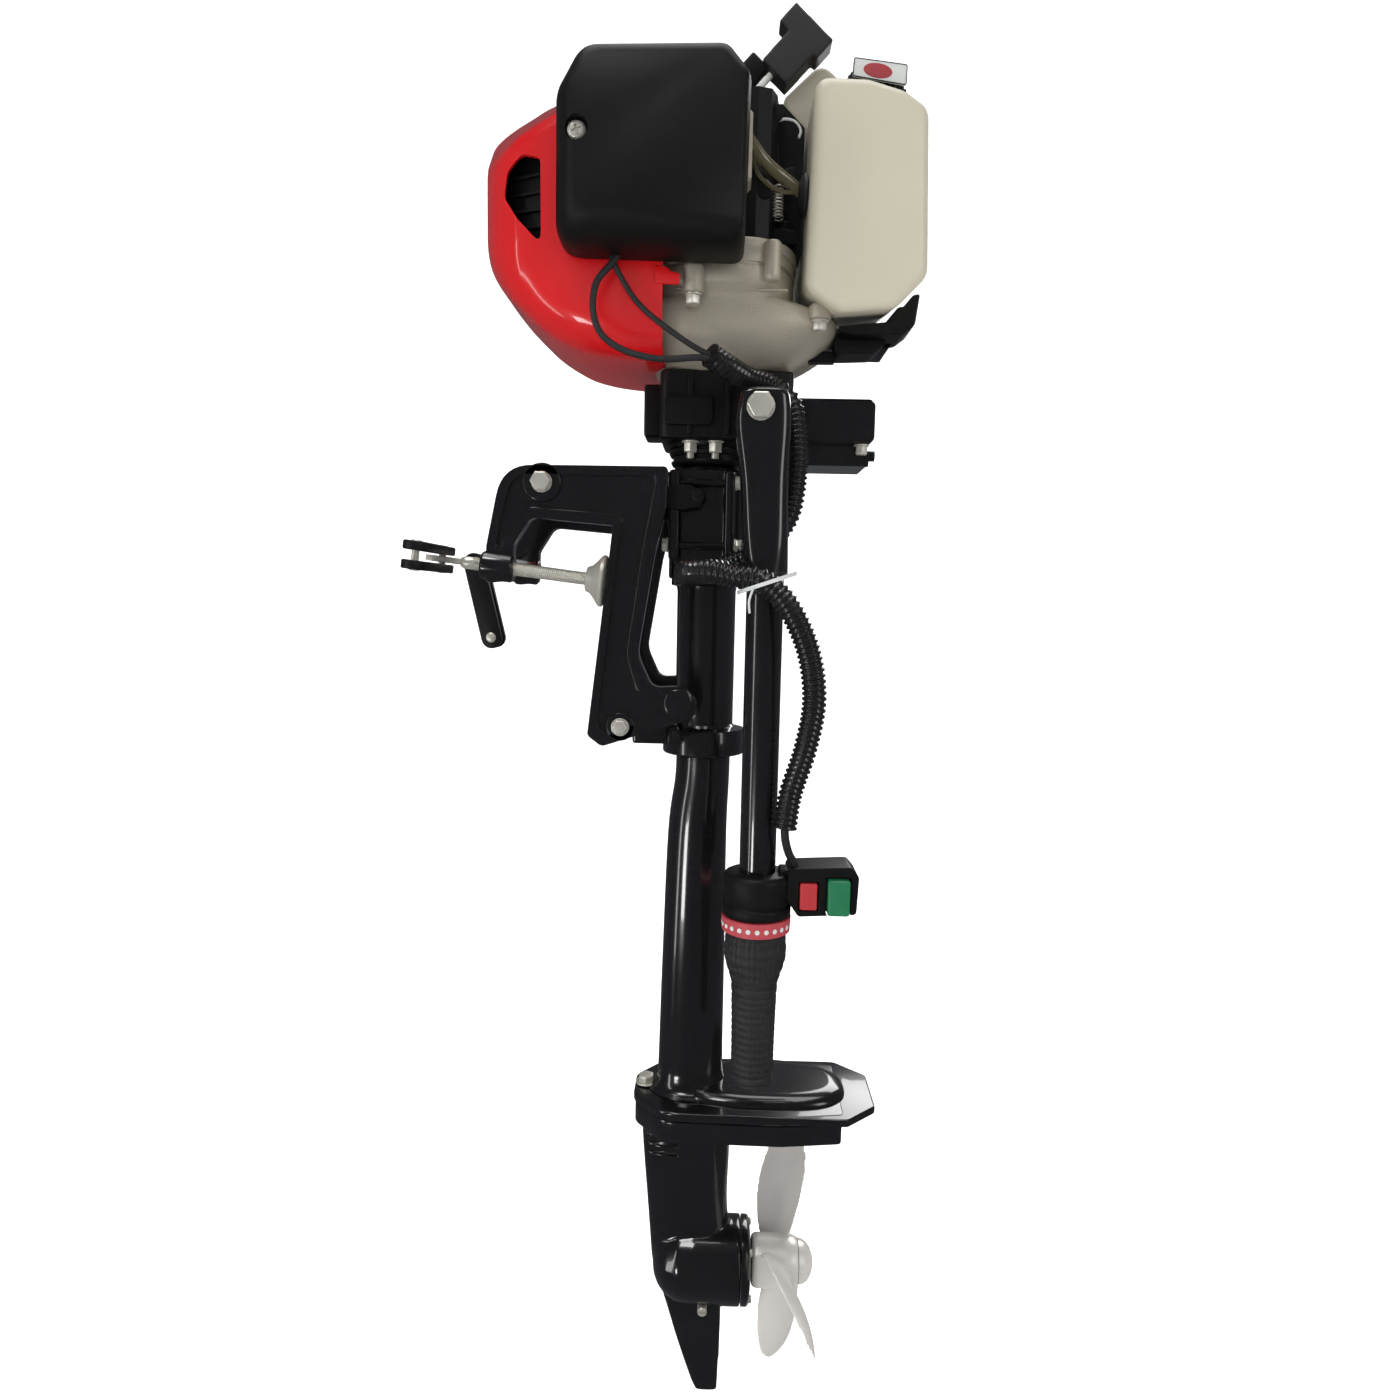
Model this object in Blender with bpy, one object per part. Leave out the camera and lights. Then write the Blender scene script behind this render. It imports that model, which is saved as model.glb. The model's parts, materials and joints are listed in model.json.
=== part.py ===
"""A portable two-stroke outboard motor with a transom clamp, a long leg and a fold-down tiller.

The frame is in metres, +Z up and +X aft. Port is -Y. The origin is the transom seat: the top
inner corner of the jaw, midway between the two clamp plates. Sizes below are in millimetres.
"""

import math

import bmesh
import bpy
from mathutils import Vector

MM = 0.001
GAP = 0.3

# Driving dimensions and joint centres.
COLUMN_X = 62.0
TILT_X, TILT_Z = -42.0, 27.5
CLAMP_LEAN = math.radians(6.5)
PLATE_IN, PLATE_OUT = 38.0, 48.0
SCREW_Y = 43.0
SCREW_R = 4.4
SCREW_EYE = 106.0
LEG_TUBE_R = 15.5
SWIVEL_TUBE_R = 19.8
HOUSING_TOP, HOUSING_LOW = 40.0, -30.0
RING_TOP, RING_LOW = -131.0, -148.0
HEAD_LOW, HEAD_TOP = 58.0, 99.5
FLANGE_TOP, FLANGE_SPLIT, FLANGE_LOW = -390.0, -397.0, -413.0
PROP_Z = -524.0
PROP_R = 92.0
GEARCASE_R = 30.0
GEARCASE_AFT = 97.0
TILLER_Y = -66.0
TILLER_PIVOT_X, TILLER_PIVOT_Z = 92.5, 71.0
TILLER_TUBE_X = 98.5
TILLER_TUBE_R = 11.5
COLLAR_TOP = -213.0
GRIP_TOP, GRIP_END = -249.0, -352.0
ENGINE_LOW, ENGINE_SPLIT, CRANKCASE_TOP, RECOIL_TOP = 100.0, 172.0, 262.0, 304.0
CONDUIT_R = 7.5
CABLE_R = 2.0
HOSE_R = 3.0
STARTER_AXIS = Vector((0.68, 0.0, 0.733)).normalized()
STARTER_FOOT = Vector((97.0, -4.0, 292.0))

# Each body's joint centre, and the body that it moves on.
BODIES = {
    "clamp": (Vector((0, 0, 0)), None),
    "pad_port": (Vector((-1.0, -SCREW_Y, -33.5)), "clamp"),
    "pad_starboard": (Vector((-1.0, SCREW_Y, -33.5)), "clamp"),
    "lever_port": (Vector((-106.3, -SCREW_Y, -21.5)), "pad_port"),
    "lever_starboard": (Vector((-106.3, SCREW_Y, -21.5)), "pad_starboard"),
    "swivel": (Vector((TILT_X, 0, TILT_Z)), "clamp"),
    "friction": (Vector((56, -34, 22)), "swivel"),
    "motor": (Vector((COLUMN_X, 0, 0)), "swivel"),
    "starter": (STARTER_FOOT, "motor"),
    "cap": (Vector((160, -22, 268)), "motor"),
    "crank": (Vector((COLUMN_X, 0, 150)), "motor"),
    "shaft": (Vector((COLUMN_X, 0, -300)), "motor"),
    "prop": (Vector((120, 0, PROP_Z)), "motor"),
    "tiller": (Vector((TILLER_PIVOT_X, TILLER_Y, TILLER_PIVOT_Z)), "motor"),
    "grip": (Vector((TILLER_TUBE_X, TILLER_Y, GRIP_TOP)), "tiller"),
    "stop": (Vector((130, TILLER_Y - 9, -225)), "tiller"),
    "start": (Vector((148.5, TILLER_Y - 9, -225)), "tiller"),
}

# Name: colour, roughness, metallic.
FINISHES = {
    "gloss_black": ((0.010, 0.010, 0.011), 0.20, 0.0),
    "satin_black": ((0.014, 0.014, 0.015), 0.45, 0.0),
    "red_cover": ((0.62, 0.010, 0.012), 0.15, 0.0),
    "tank_white": ((0.72, 0.66, 0.52), 0.38, 0.0),
    "cast_aluminium": ((0.40, 0.37, 0.32), 0.48, 0.8),
    "propeller_alloy": ((0.62, 0.59, 0.54), 0.38, 0.7),
    "zinc_steel": ((0.60, 0.58, 0.52), 0.28, 1.0),
    "rubber_black": ((0.020, 0.020, 0.021), 0.72, 0.0),
    "button_red": ((0.55, 0.03, 0.04), 0.40, 0.0),
    "button_green": ((0.01, 0.20, 0.07), 0.40, 0.0),
    "rope_grey": ((0.50, 0.50, 0.48), 0.80, 0.0),
}


# ---------------------------------------------------------------- scene and materials


def clear_scene():
    for item in list(bpy.data.objects):
        bpy.data.objects.remove(item, do_unlink=True)


def make_finishes():
    made = {}
    for name, (colour, roughness, metallic) in FINISHES.items():
        material = bpy.data.materials.new(name)
        material.use_nodes = True
        shader = material.node_tree.nodes["Principled BSDF"]
        shader.inputs["Base Color"].default_value = (*colour, 1.0)
        shader.inputs["Roughness"].default_value = roughness
        shader.inputs["Metallic"].default_value = metallic
        made[name] = material
    return made


def make_bodies():
    made = {}
    for name, (centre, parent) in BODIES.items():
        empty = bpy.data.objects.new("body_" + name, None)
        bpy.context.collection.objects.link(empty)
        empty.location = centre * MM
        if parent:
            empty.parent = made[parent]
            empty.location = (centre - BODIES[parent][0]) * MM
        made[name] = empty
    return made


clear_scene()
MATERIALS = make_finishes()
EMPTIES = make_bodies()


# ---------------------------------------------------------------- building blocks


def solid_from_rings(rings, closed=False):
    """A closed mesh through rings of equal length, capped at both ends or joined up."""
    bm = bmesh.new()
    rows = [[bm.verts.new(point) for point in ring] for ring in rings]
    count = len(rows[0])
    pairs = list(zip(rows, rows[1:]))
    if closed:
        pairs.append((rows[-1], rows[0]))
    for lower, upper in pairs:
        for i in range(count):
            j = (i + 1) % count
            bm.faces.new((lower[i], lower[j], upper[j], upper[i]))
    if not closed:
        bm.faces.new(list(reversed(rows[0])))
        bm.faces.new(rows[-1])
    bmesh.ops.recalc_face_normals(bm, faces=bm.faces)
    return bm


def frame_of(axis):
    """Two unit vectors square to axis."""
    axis = Vector(axis).normalized()
    side = Vector((0, 0, 1)) if abs(axis.z) < 0.9 else Vector((1, 0, 0))
    first = axis.cross(side).normalized()
    return first, axis.cross(first)


def turned(start, axis, profile, sides=16):
    """A turned solid: profile is (distance along axis, radius) pairs."""
    start, axis = Vector(start), Vector(axis).normalized()
    first, second = frame_of(axis)
    rings = []
    for distance, radius in profile:
        ring = []
        for i in range(sides):
            turn = 2 * math.pi * i / sides
            arm = first * math.cos(turn) + second * math.sin(turn)
            ring.append(start + axis * distance + arm * radius)
        rings.append(ring)
    return solid_from_rings(rings)


def rod(start, end, radius, sides=16):
    start, end = Vector(start), Vector(end)
    return turned(start, end - start, [(0, radius), ((end - start).length, radius)], sides)


def block(low, high):
    low, high = Vector(low), Vector(high)
    bm = bmesh.new()
    bmesh.ops.create_cube(bm, size=1.0)
    for vert in bm.verts:
        part = (vert.co.x + 0.5, vert.co.y + 0.5, vert.co.z + 0.5)
        vert.co = Vector([low[k] + (high[k] - low[k]) * part[k] for k in range(3)])
    return bm


def rounded(corners, steps=2):
    """An outline from (a, b, radius) corners, each with its corner turned into an arc."""
    points = []
    count = len(corners)
    for i, (a, b, radius) in enumerate(corners):
        here = Vector((a, b))
        back = Vector(corners[i - 1][:2]) - here
        ahead = Vector(corners[(i + 1) % count][:2]) - here
        if radius <= 0:
            points.append(here)
            continue
        half = back.angle(ahead) / 2
        reach = min(radius / math.tan(half), 0.48 * back.length, 0.48 * ahead.length)
        start = here + back.normalized() * reach
        end = here + ahead.normalized() * reach
        for k in range(steps + 1):
            t = k / steps
            points.append(start * (1 - t) ** 2 + here * 2 * t * (1 - t) + end * t**2)
    return points


def slab(outline, axis, low, high):
    """An outline in the other two axes, extruded along axis from low to high."""
    places = {"X": (1, 2, 0), "Y": (0, 2, 1), "Z": (0, 1, 2)}[axis]
    rings = []
    for level in (low, high):
        ring = []
        for a, b in outline:
            point = [0, 0, 0]
            point[places[0]], point[places[1]], point[places[2]] = a, b, level
            ring.append(Vector(point))
        rings.append(ring)
    return solid_from_rings(rings)


def oval(centre, half_x, half_y, power=2.0, count=24):
    """A superellipse ring about centre, in the XY plane."""
    ring = []
    for i in range(count):
        turn = 2 * math.pi * i / count
        c, s = math.cos(turn), math.sin(turn)
        x = math.copysign(abs(c) ** (2 / power), c) * half_x
        y = math.copysign(abs(s) ** (2 / power), s) * half_y
        ring.append(Vector(centre) + Vector((x, y, 0)))
    return ring


def hexagon(start, axis, across_flats, height):
    return turned(
        start,
        axis,
        [(0, across_flats / math.sqrt(3)), (height, across_flats / math.sqrt(3))],
        6,
    )


# ---------------------------------------------------------------- objects


def place(name, bm, body):
    centre = BODIES[body][0]
    for vert in bm.verts:
        vert.co = (vert.co - centre) * MM
    mesh = bpy.data.meshes.new(name)
    bm.to_mesh(mesh)
    bm.free()
    obj = bpy.data.objects.new(name, mesh)
    bpy.context.collection.objects.link(obj)
    obj.parent = EMPTIES[body]
    return obj


def helper(name, bm, body):
    obj = place(name, bm, body)
    obj.hide_render = True
    obj.display_type = "WIRE"
    return obj


def make(name, body, finish, base, add=(), cut=(), bevel=0.0):
    """One sub-part: base with its edges bevelled, the other shapes joined on, then cuts taken."""
    obj = place(name, base, body)
    obj.data.materials.append(MATERIALS[finish])
    obj.data.shade_smooth()
    obj.data.set_sharp_from_angle(angle=math.radians(35))
    if bevel:
        edges = obj.modifiers.new("edges", "BEVEL")
        edges.width = bevel * MM
        edges.segments = 1
        edges.limit_method = "ANGLE"
        edges.angle_limit = math.radians(50)
    for operation, shapes in (("UNION", add), ("DIFFERENCE", cut)):
        for i, shape in enumerate(shapes):
            other = helper(f"{name}.{operation.lower()}{i}", shape, body)
            step = obj.modifiers.new(f"{operation.lower()}{i}", "BOOLEAN")
            step.operation = operation
            step.object = other
            step.solver = "EXACT"
    return obj


def smooth_route(points, spacing):
    """Points on a smooth curve through the route's own points, about spacing apart."""
    points = [Vector(p) for p in points]
    ends = [points[0] * 2 - points[1]] + points + [points[-1] * 2 - points[-2]]
    route = []
    for i in range(1, len(ends) - 2):
        before, start, end, after = ends[i - 1 : i + 3]
        pieces = max(1, round((end - start).length / spacing))
        for k in range(pieces):
            t = k / pieces
            route.append(
                0.5
                * (
                    2 * start
                    + (end - before) * t
                    + (2 * before - 5 * start + 4 * end - after) * t**2
                    + (3 * start - before - 3 * end + after) * t**3
                )
            )
    route.append(points[-1])
    return route


def cord(name, body, finish, points, radius, sides_step=2):
    centre = BODIES[body][0]
    curve = bpy.data.curves.new(name, "CURVE")
    curve.dimensions = "3D"
    curve.bevel_depth = radius * MM
    curve.bevel_resolution = sides_step
    curve.use_fill_caps = True
    spline = curve.splines.new("POLY")
    route = smooth_route(points, radius * 5)
    spline.points.add(len(route) - 1)
    for point, place_at in zip(spline.points, route):
        point.co = (*((place_at - centre) * MM), 1.0)
    obj = bpy.data.objects.new(name, curve)
    bpy.context.collection.objects.link(obj)
    obj.parent = EMPTIES[body]
    curve.materials.append(MATERIALS[finish])
    return obj


# ---------------------------------------------------------------- transom clamp

SCREW_DIRECTION = Vector((-math.cos(CLAMP_LEAN), 0, math.sin(CLAMP_LEAN)))
CLAMP_UP = Vector((math.sin(CLAMP_LEAN), 0, math.cos(CLAMP_LEAN)))


def screw_point(side, distance):
    """A point on a clamp screw's axis, a distance out from the jaw face."""
    return Vector((-1.0, side * SCREW_Y, -33.5)) + SCREW_DIRECTION * distance


def plate_outline():
    return rounded(
        [
            (-67, 38, 24),
            (37, 38.5, 3),
            (36, 12, 8),
            (29.5, -15, 20),
            (19.4, -79, 20),
            (29, -100, 8),
            (50, -99, 8),
            (60, -111, 8),
            (52, -121, 8),
            (30, -128, 5),
            (-3, -139, 5),
            (-12.4, -132, 4),
            (2.8, 1.5, 2),
            (-49, 5.5, 8),
            (-60, -12, 8),
            (-60.5, -34, 3),
            (-78.5, -36, 4),
            (-77, -12, 8),
        ]
    )


def build_clamp():
    for side, word in ((-1, "port"), (1, "starboard")):
        low, high = sorted((side * PLATE_IN, side * PLATE_OUT))
        boss = rod(screw_point(side, 61), screw_point(side, 80), 8.0, 20)
        bore = rod(screw_point(side, 50), screw_point(side, 90), SCREW_R + 0.5, 20)
        tilt_hole = rod((TILT_X, low - 5, TILT_Z), (TILT_X, high + 5, TILT_Z), 6.3, 20)
        rod_hole = rod((9, low - 5, -126), (9, high + 5, -126), 4.0, 16)
        make(
            f"clamp_plate_{word}",
            "clamp",
            "gloss_black",
            slab(plate_outline(), "Y", low, high),
            add=[boss],
            cut=[bore, tilt_hole, rod_hole],
            bevel=1.2,
        )
        pad_socket = rod(screw_point(side, 6), screw_point(side, 20), 5.2, 16)
        make(
            f"clamp_pad_{word}",
            f"pad_{word}",
            "gloss_black",
            turned(
                screw_point(side, 1.2),
                SCREW_DIRECTION,
                [(0, 16.5), (2.5, 16.5), (9, 8.5), (12, 7.5)],
            ),
            cut=[pad_socket],
        )
        build_screw(side, word)
        build_lever(side, word)
    bolt = rod((TILT_X, -PLATE_OUT - GAP, TILT_Z), (TILT_X, 58, TILT_Z), 5.9)
    make(
        "tilt_pivot_bolt",
        "clamp",
        "zinc_steel",
        bolt,
        add=[hexagon((TILT_X, -PLATE_OUT - 6.5, TILT_Z), (0, 1, 0), 14, 6.5 - GAP)],
    )
    make(
        "tilt_pivot_nut",
        "clamp",
        "zinc_steel",
        hexagon((TILT_X, PLATE_OUT + GAP, TILT_Z), (0, 1, 0), 14, 8),
        cut=[rod((TILT_X, 40, TILT_Z), (TILT_X, 70, TILT_Z), 6.2)],
    )
    make(
        "thrust_rod",
        "clamp",
        "zinc_steel",
        rod((9, -PLATE_OUT - 3.5, -126), (9, PLATE_OUT + 3.5, -126), 3.6, 16),
        add=[
            hexagon((9, -PLATE_OUT - 3.2, -126), (0, 1, 0), 10, 2.9),
            hexagon((9, PLATE_OUT + GAP, -126), (0, 1, 0), 10, 2.9),
        ],
    )


def lever_frame(side):
    """The way a lever points at rest, and its hinge axis."""
    if side < 0:
        return Vector((0, -1, 0)), CLAMP_UP
    return -CLAMP_UP, Vector((0, 1, 0))


def build_screw(side, word):
    _, hinge = lever_frame(side)
    eye = screw_point(side, SCREW_EYE)
    shank = turned(
        screw_point(side, 8),
        SCREW_DIRECTION,
        [(0, 3.2), (2, SCREW_R), (SCREW_EYE - 28, SCREW_R), (SCREW_EYE - 20.5, 4.0)],
        20,
    )
    lug = bar(screw_point(side, SCREW_EYE - 2), SCREW_DIRECTION, hinge, 11.5, 4.4, 2.0)
    hole = rod(eye - hinge * 8, eye + hinge * 8, 2.4, 16)
    make(f"clamp_screw_{word}", f"pad_{word}", "zinc_steel", shank, add=[lug], cut=[hole])


def bar(centre, along, thin, half_length, half_width, half_thickness):
    """A rectangular bar about centre, with its own directions."""
    across = Vector(along).cross(Vector(thin))
    ring = []
    for a, b in ((-1, -1), (1, -1), (1, 1), (-1, 1)):
        ring.append(Vector(thin) * a * half_thickness + across * b * half_width)
    start = Vector(centre) - Vector(along) * half_length
    end = Vector(centre) + Vector(along) * half_length
    return solid_from_rings([[start + p for p in ring], [end + p for p in ring]])


def build_lever(side, word):
    along, hinge = lever_frame(side)
    eye = screw_point(side, SCREW_EYE)
    legs = []
    for offset in (-5.6, 5.6):
        legs.append(bar(eye + along * 27 + hinge * offset, along, hinge, 35, 7.5, 2.8))
    pin = rod(eye - hinge * 6, eye + hinge * 6, 2.0, 16)
    rivet = rod(eye + along * 55 - hinge * 9.2, eye + along * 55 + hinge * 9.2, 3.2, 16)
    make(f"clamp_lever_{word}", f"lever_{word}", "satin_black", legs[0], add=[pin, rivet, legs[1]])


# ---------------------------------------------------------------- swivel bracket


def build_swivel():
    arm = slab(
        rounded([(-54, 38, 11), (40, 38, 0), (40, 6, 0), (5, 8, 8), (-30, 16, 6), (-54, 16, 11)]),
        "Y",
        -33,
        33,
    )
    pocket = block((-31, -23, 0), (28, 23, 33))
    tube = rod((COLUMN_X, 0, HOUSING_LOW + 2), (COLUMN_X, 0, RING_LOW), SWIVEL_TUBE_R, 24)
    ring = rod((COLUMN_X, 0, RING_TOP), (COLUMN_X, 0, RING_LOW), 28, 24)
    lug = block((13.4, -12, -142), (40, 12, -118))
    rim = rod((COLUMN_X, 0, HOUSING_LOW + 1), (COLUMN_X, 0, HOUSING_LOW - 5), 23.5, 24)
    bars = [block((37, -34, -18), (44, -24, 38)), block((79, -34, -18), (86, -24, 38))]
    holes = [rod((30, -29.5, z), (95, -29.5, z), 3.0, 16) for z in (31, -9)]
    bore = rod((COLUMN_X, 0, 60), (COLUMN_X, 0, -160), LEG_TUBE_R + 0.3, 24)
    upper_seat = rod((COLUMN_X, 0, 60), (COLUMN_X, 0, 10), 19.9, 24)
    lower_seat = rod((COLUMN_X, 0, -160), (COLUMN_X, 0, -134), 18.4, 24)
    notch = block((27, -40, 24), (37.2, -24.6, 45))
    pivot = rod((TILT_X, -40, TILT_Z), (TILT_X, 40, TILT_Z), 6.3, 20)
    screw = rod((56, -30, 22), (56, -10, 22), 3.4, 16)
    make(
        "swivel_bracket",
        "swivel",
        "gloss_black",
        slab(
            rounded([(37, -26.5, 6), (86, -26.5, 12), (86, 26.5, 12), (37, 26.5, 6)]),
            "Z",
            HOUSING_LOW,
            HOUSING_TOP,
        ),
        add=[arm, tube, ring, lug, rim] + bars,
        cut=[pocket, bore, upper_seat, lower_seat, pivot, screw, notch] + holes,
    )
    for name, top, low, outer in (
        ("upper_bush", HOUSING_TOP + 3, 10 + GAP, 19.6),
        ("lower_bush", -134 - GAP, RING_LOW - 2, 18.1),
    ):
        make(
            name,
            "swivel",
            "satin_black",
            rod((COLUMN_X, 0, top), (COLUMN_X, 0, low), outer, 24),
            cut=[rod((COLUMN_X, 0, top + 5), (COLUMN_X, 0, low - 5), LEG_TUBE_R + 0.3, 24)],
        )
    for word, z in (("upper", 31), ("lower", -9)):
        make(
            f"pinch_bolt_{word}",
            "swivel",
            "zinc_steel",
            rod((33, -29.5, z), (91, -29.5, z), 2.6, 16),
            add=[
                hexagon((36.6, -29.5, z), (-1, 0, 0), 8, 4),
                hexagon((86.4, -29.5, z), (1, 0, 0), 8, 4.6),
            ],
        )
    paddle = slab(
        rounded([(20, 27, 4), (50, 29, 4), (60, 24, 5), (58, 15, 5), (46, 13, 6), (24, 15, 6)]),
        "Y",
        -37.4,
        -34.4,
    )
    make(
        "friction_lever",
        "friction",
        "satin_black",
        paddle,
        add=[rod((56, -35, 22), (56, -25, 22), 3.0, 16)],
    )


# ---------------------------------------------------------------- leg, head and gearcase


def flange_outline(aft, aft_half):
    return rounded(
        [
            (18, -14, 14),
            (40, -40, 30),
            (120, -42, 20),
            (aft, -aft_half, 4),
            (aft, aft_half, 4),
            (120, 42, 20),
            (40, 40, 30),
            (18, 14, 14),
        ]
    )


def build_leg():
    sections = [
        (-150.5, COLUMN_X, 18.5, 17.5),
        (-168, 61.5, 18.8, 17),
        (-205, 59, 20.4, 16.5),
        (-300, 58, 22, 16),
        (-372, 57.5, 23, 16),
        (FLANGE_TOP, 58, 25, 20),
    ]
    leg = solid_from_rings([oval((x, 0, z), a, b, 2.0, 20) for z, x, a, b in sections])
    tube = rod((COLUMN_X, 0, 94), (COLUMN_X, 0, -152), LEG_TUBE_R, 24)
    flange = slab(flange_outline(164, 36), "Z", FLANGE_TOP - 1, FLANGE_SPLIT)
    wing = slab(
        rounded(
            [
                (112, -41.5, 4),
                (166, -41.5, 4),
                (187, -22, 3),
                (187, 22, 3),
                (166, 41.5, 4),
                (112, 41.5, 4),
            ]
        ),
        "Z",
        FLANGE_TOP - 1,
        FLANGE_TOP - 6.5,
    )
    pod = solid_from_rings(
        [
            oval((110, 0, FLANGE_TOP - 2), 58, 30, 2.6, 24),
            oval((106, 0, FLANGE_TOP + 6), 48, 20, 2.4, 24),
        ]
    )
    bore = rod((COLUMN_X, 0, 120), (COLUMN_X, 0, -420), 9, 20)
    make(
        "drive_leg",
        "motor",
        "gloss_black",
        leg,
        add=[tube, flange, wing, pod],
        cut=[bore, flange_bolt_hole()],
    )


def flange_bolt_hole():
    return rod((26, 0, FLANGE_TOP + 10), (26, 0, FLANGE_SPLIT - 10), 3.3, 16)


# Height, leading edge, trailing edge, widest point and half thickness.
SKEG_SECTIONS = (
    (-540, 36, 84, 60, 5.5),
    (-590, 52, 83.5, 66, 4),
    (-630, 65.5, 82.5, 72, 2.5),
)


def skeg_section(z, lead, trail, widest, half):
    edge = half * 0.45
    corners = ((lead, 0), (widest, -half), (trail, -edge), (trail, edge), (widest, half))
    return [Vector((x, y, z)) for x, y in corners]


def build_gearcase():
    flange = slab(flange_outline(164, 35), "Z", FLANGE_LOW, FLANGE_SPLIT - GAP)
    strut = solid_from_rings(
        [
            oval((55, 0, FLANGE_LOW + 2), 32, 14, 2.3, 24),
            oval((56, 0, -440), 31, 13, 2.3, 24),
            oval((57.5, 0, -480), 29, 13, 2.3, 24),
            oval((62, 0, -520), 30, 14, 2.3, 24),
        ]
    )
    torpedo = turned(
        (33, 0, PROP_Z),
        (1, 0, 0),
        [(0, 9), (3, 17), (9, 24), (18, 28.6), (30, GEARCASE_R), (GEARCASE_AFT - 33, GEARCASE_R)],
        20,
    )
    skeg = solid_from_rings([skeg_section(*row) for row in SKEG_SECTIONS])
    cavity = rod((46, 0, PROP_Z), (120, 0, PROP_Z), 23, 24)
    bore = rod((COLUMN_X, 0, -390), (COLUMN_X, 0, -524), 9, 20)
    bearing = rod((36, 0, PROP_Z), (60, 0, PROP_Z), 6.4, 16)
    slots = [
        block((30, -20, z), (44, -9, z + 2.4))
        for z in (-436, -443, -450)
    ]
    drain = rod((70, -40, -548), (70, -15, -548), 3.4, 16)
    make(
        "gearcase",
        "motor",
        "gloss_black",
        strut,
        add=[flange, torpedo, skeg],
        cut=[cavity, bore, bearing, drain, rod((26, 0, -380), (26, 0, -408), 3.3, 16)] + slots,
    )
    cap = turned(
        (GEARCASE_AFT + GAP, 0, PROP_Z),
        (1, 0, 0),
        [(0, 29.5), (4, 29.5), (6, 26), (7, 18)],
        20,
    )
    make(
        "bearing_cap",
        "motor",
        "gloss_black",
        cap,
        add=[rod((82, 0, PROP_Z), (98, 0, PROP_Z), 22.6, 24)],
        cut=[rod((70, 0, PROP_Z), (120, 0, PROP_Z), 6.4, 16)],
    )
    make(
        "gearcase_bolt",
        "motor",
        "zinc_steel",
        rod((26, 0, FLANGE_TOP + 4), (26, 0, -405), 3.0, 16),
        add=[hexagon((26, 0, FLANGE_TOP + 0.3), (0, 0, 1), 10, 6)],
    )
    make(
        "drain_screw",
        "motor",
        "zinc_steel",
        turned((70, -26.5, -548), (0, 1, 0), [(0, 3.0), (9, 3.0)], 12),
    )


def blade_section(radius, chord, thickness, pitch, centre_x, around):
    """A blade's section at a radius, for a blade that points round from straight up by around."""
    ring = []
    outward = Vector((0, -math.sin(around), math.cos(around)))
    tangent = Vector((0, math.cos(around), math.sin(around)))
    along = Vector((math.sin(pitch), 0, 0)) - tangent * math.cos(pitch)
    face = Vector((math.cos(pitch), 0, 0)) + tangent * math.sin(pitch)
    for a, b in (
        (-1, 0),
        (-0.55, 0.8),
        (0.1, 1),
        (0.7, 0.6),
        (1, 0),
        (0.6, -0.3),
        (0, -0.45),
        (-0.6, -0.3),
    ):
        camber = 0.10 * chord * (1 - a * a)
        middle = Vector((centre_x, 0, PROP_Z)) + outward * radius
        ring.append(middle + along * a * chord / 2 + face * (b * thickness + camber))
    return ring


BLADE_SECTIONS = (
    (12, 22, 3.2, 42, 123),
    (26, 40, 2.6, 38, 124),
    (44, 56, 2.2, 33, 126),
    (62, 60, 1.8, 30, 129),
    (78, 50, 1.4, 28, 132),
    (88, 30, 1.0, 27, 134),
    (PROP_R, 9, 0.7, 27, 135),
)


def build_propeller():
    hub = turned(
        (104.6, 0, PROP_Z),
        (1, 0, 0),
        [(0, 16), (3, 18), (24, 18), (34, 16)],
        20,
    )
    blades = []
    for i in range(3):
        around = math.radians(80 + 120 * i)
        rings = [
            blade_section(r, chord, thick, math.radians(pitch), x, around)
            for r, chord, thick, pitch, x in BLADE_SECTIONS
        ]
        blades.append(solid_from_rings(rings))
    make(
        "propeller",
        "prop",
        "propeller_alloy",
        hub,
        add=blades,
        cut=[rod((100, 0, PROP_Z), (145, 0, PROP_Z), 6.3, 16)],
    )
    make(
        "propeller_nut",
        "prop",
        "propeller_alloy",
        turned((138.9, 0, PROP_Z), (1, 0, 0), [(0, 15), (4, 14), (8, 10.5), (11, 4)], 20),
        cut=[rod((130, 0, PROP_Z), (146, 0, PROP_Z), 6.3, 16)],
    )
    make(
        "propeller_shaft",
        "prop",
        "zinc_steel",
        rod((48, 0, PROP_Z), (145.5, 0, PROP_Z), 6.0, 16),
        add=[toothed_disc((75.5, 0, PROP_Z), (1, 0, 0), 21, 18.5, 5)],
    )


def toothed_disc(centre, axis, teeth, radius, thickness):
    """A gear blank with square-shouldered teeth."""
    centre, axis = Vector(centre), Vector(axis)
    first, second = frame_of(axis)
    rings = []
    for distance in (0, thickness):
        ring = []
        for i in range(4 * teeth):
            turn = 2 * math.pi * i / (4 * teeth)
            reach = radius if i % 4 < 2 else radius - 1.8
            ring.append(
                centre + axis * distance + (
                    first * math.cos(turn) + second * math.sin(turn)
                ) * reach
            )
        rings.append(ring)
    return solid_from_rings(rings)


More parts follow.
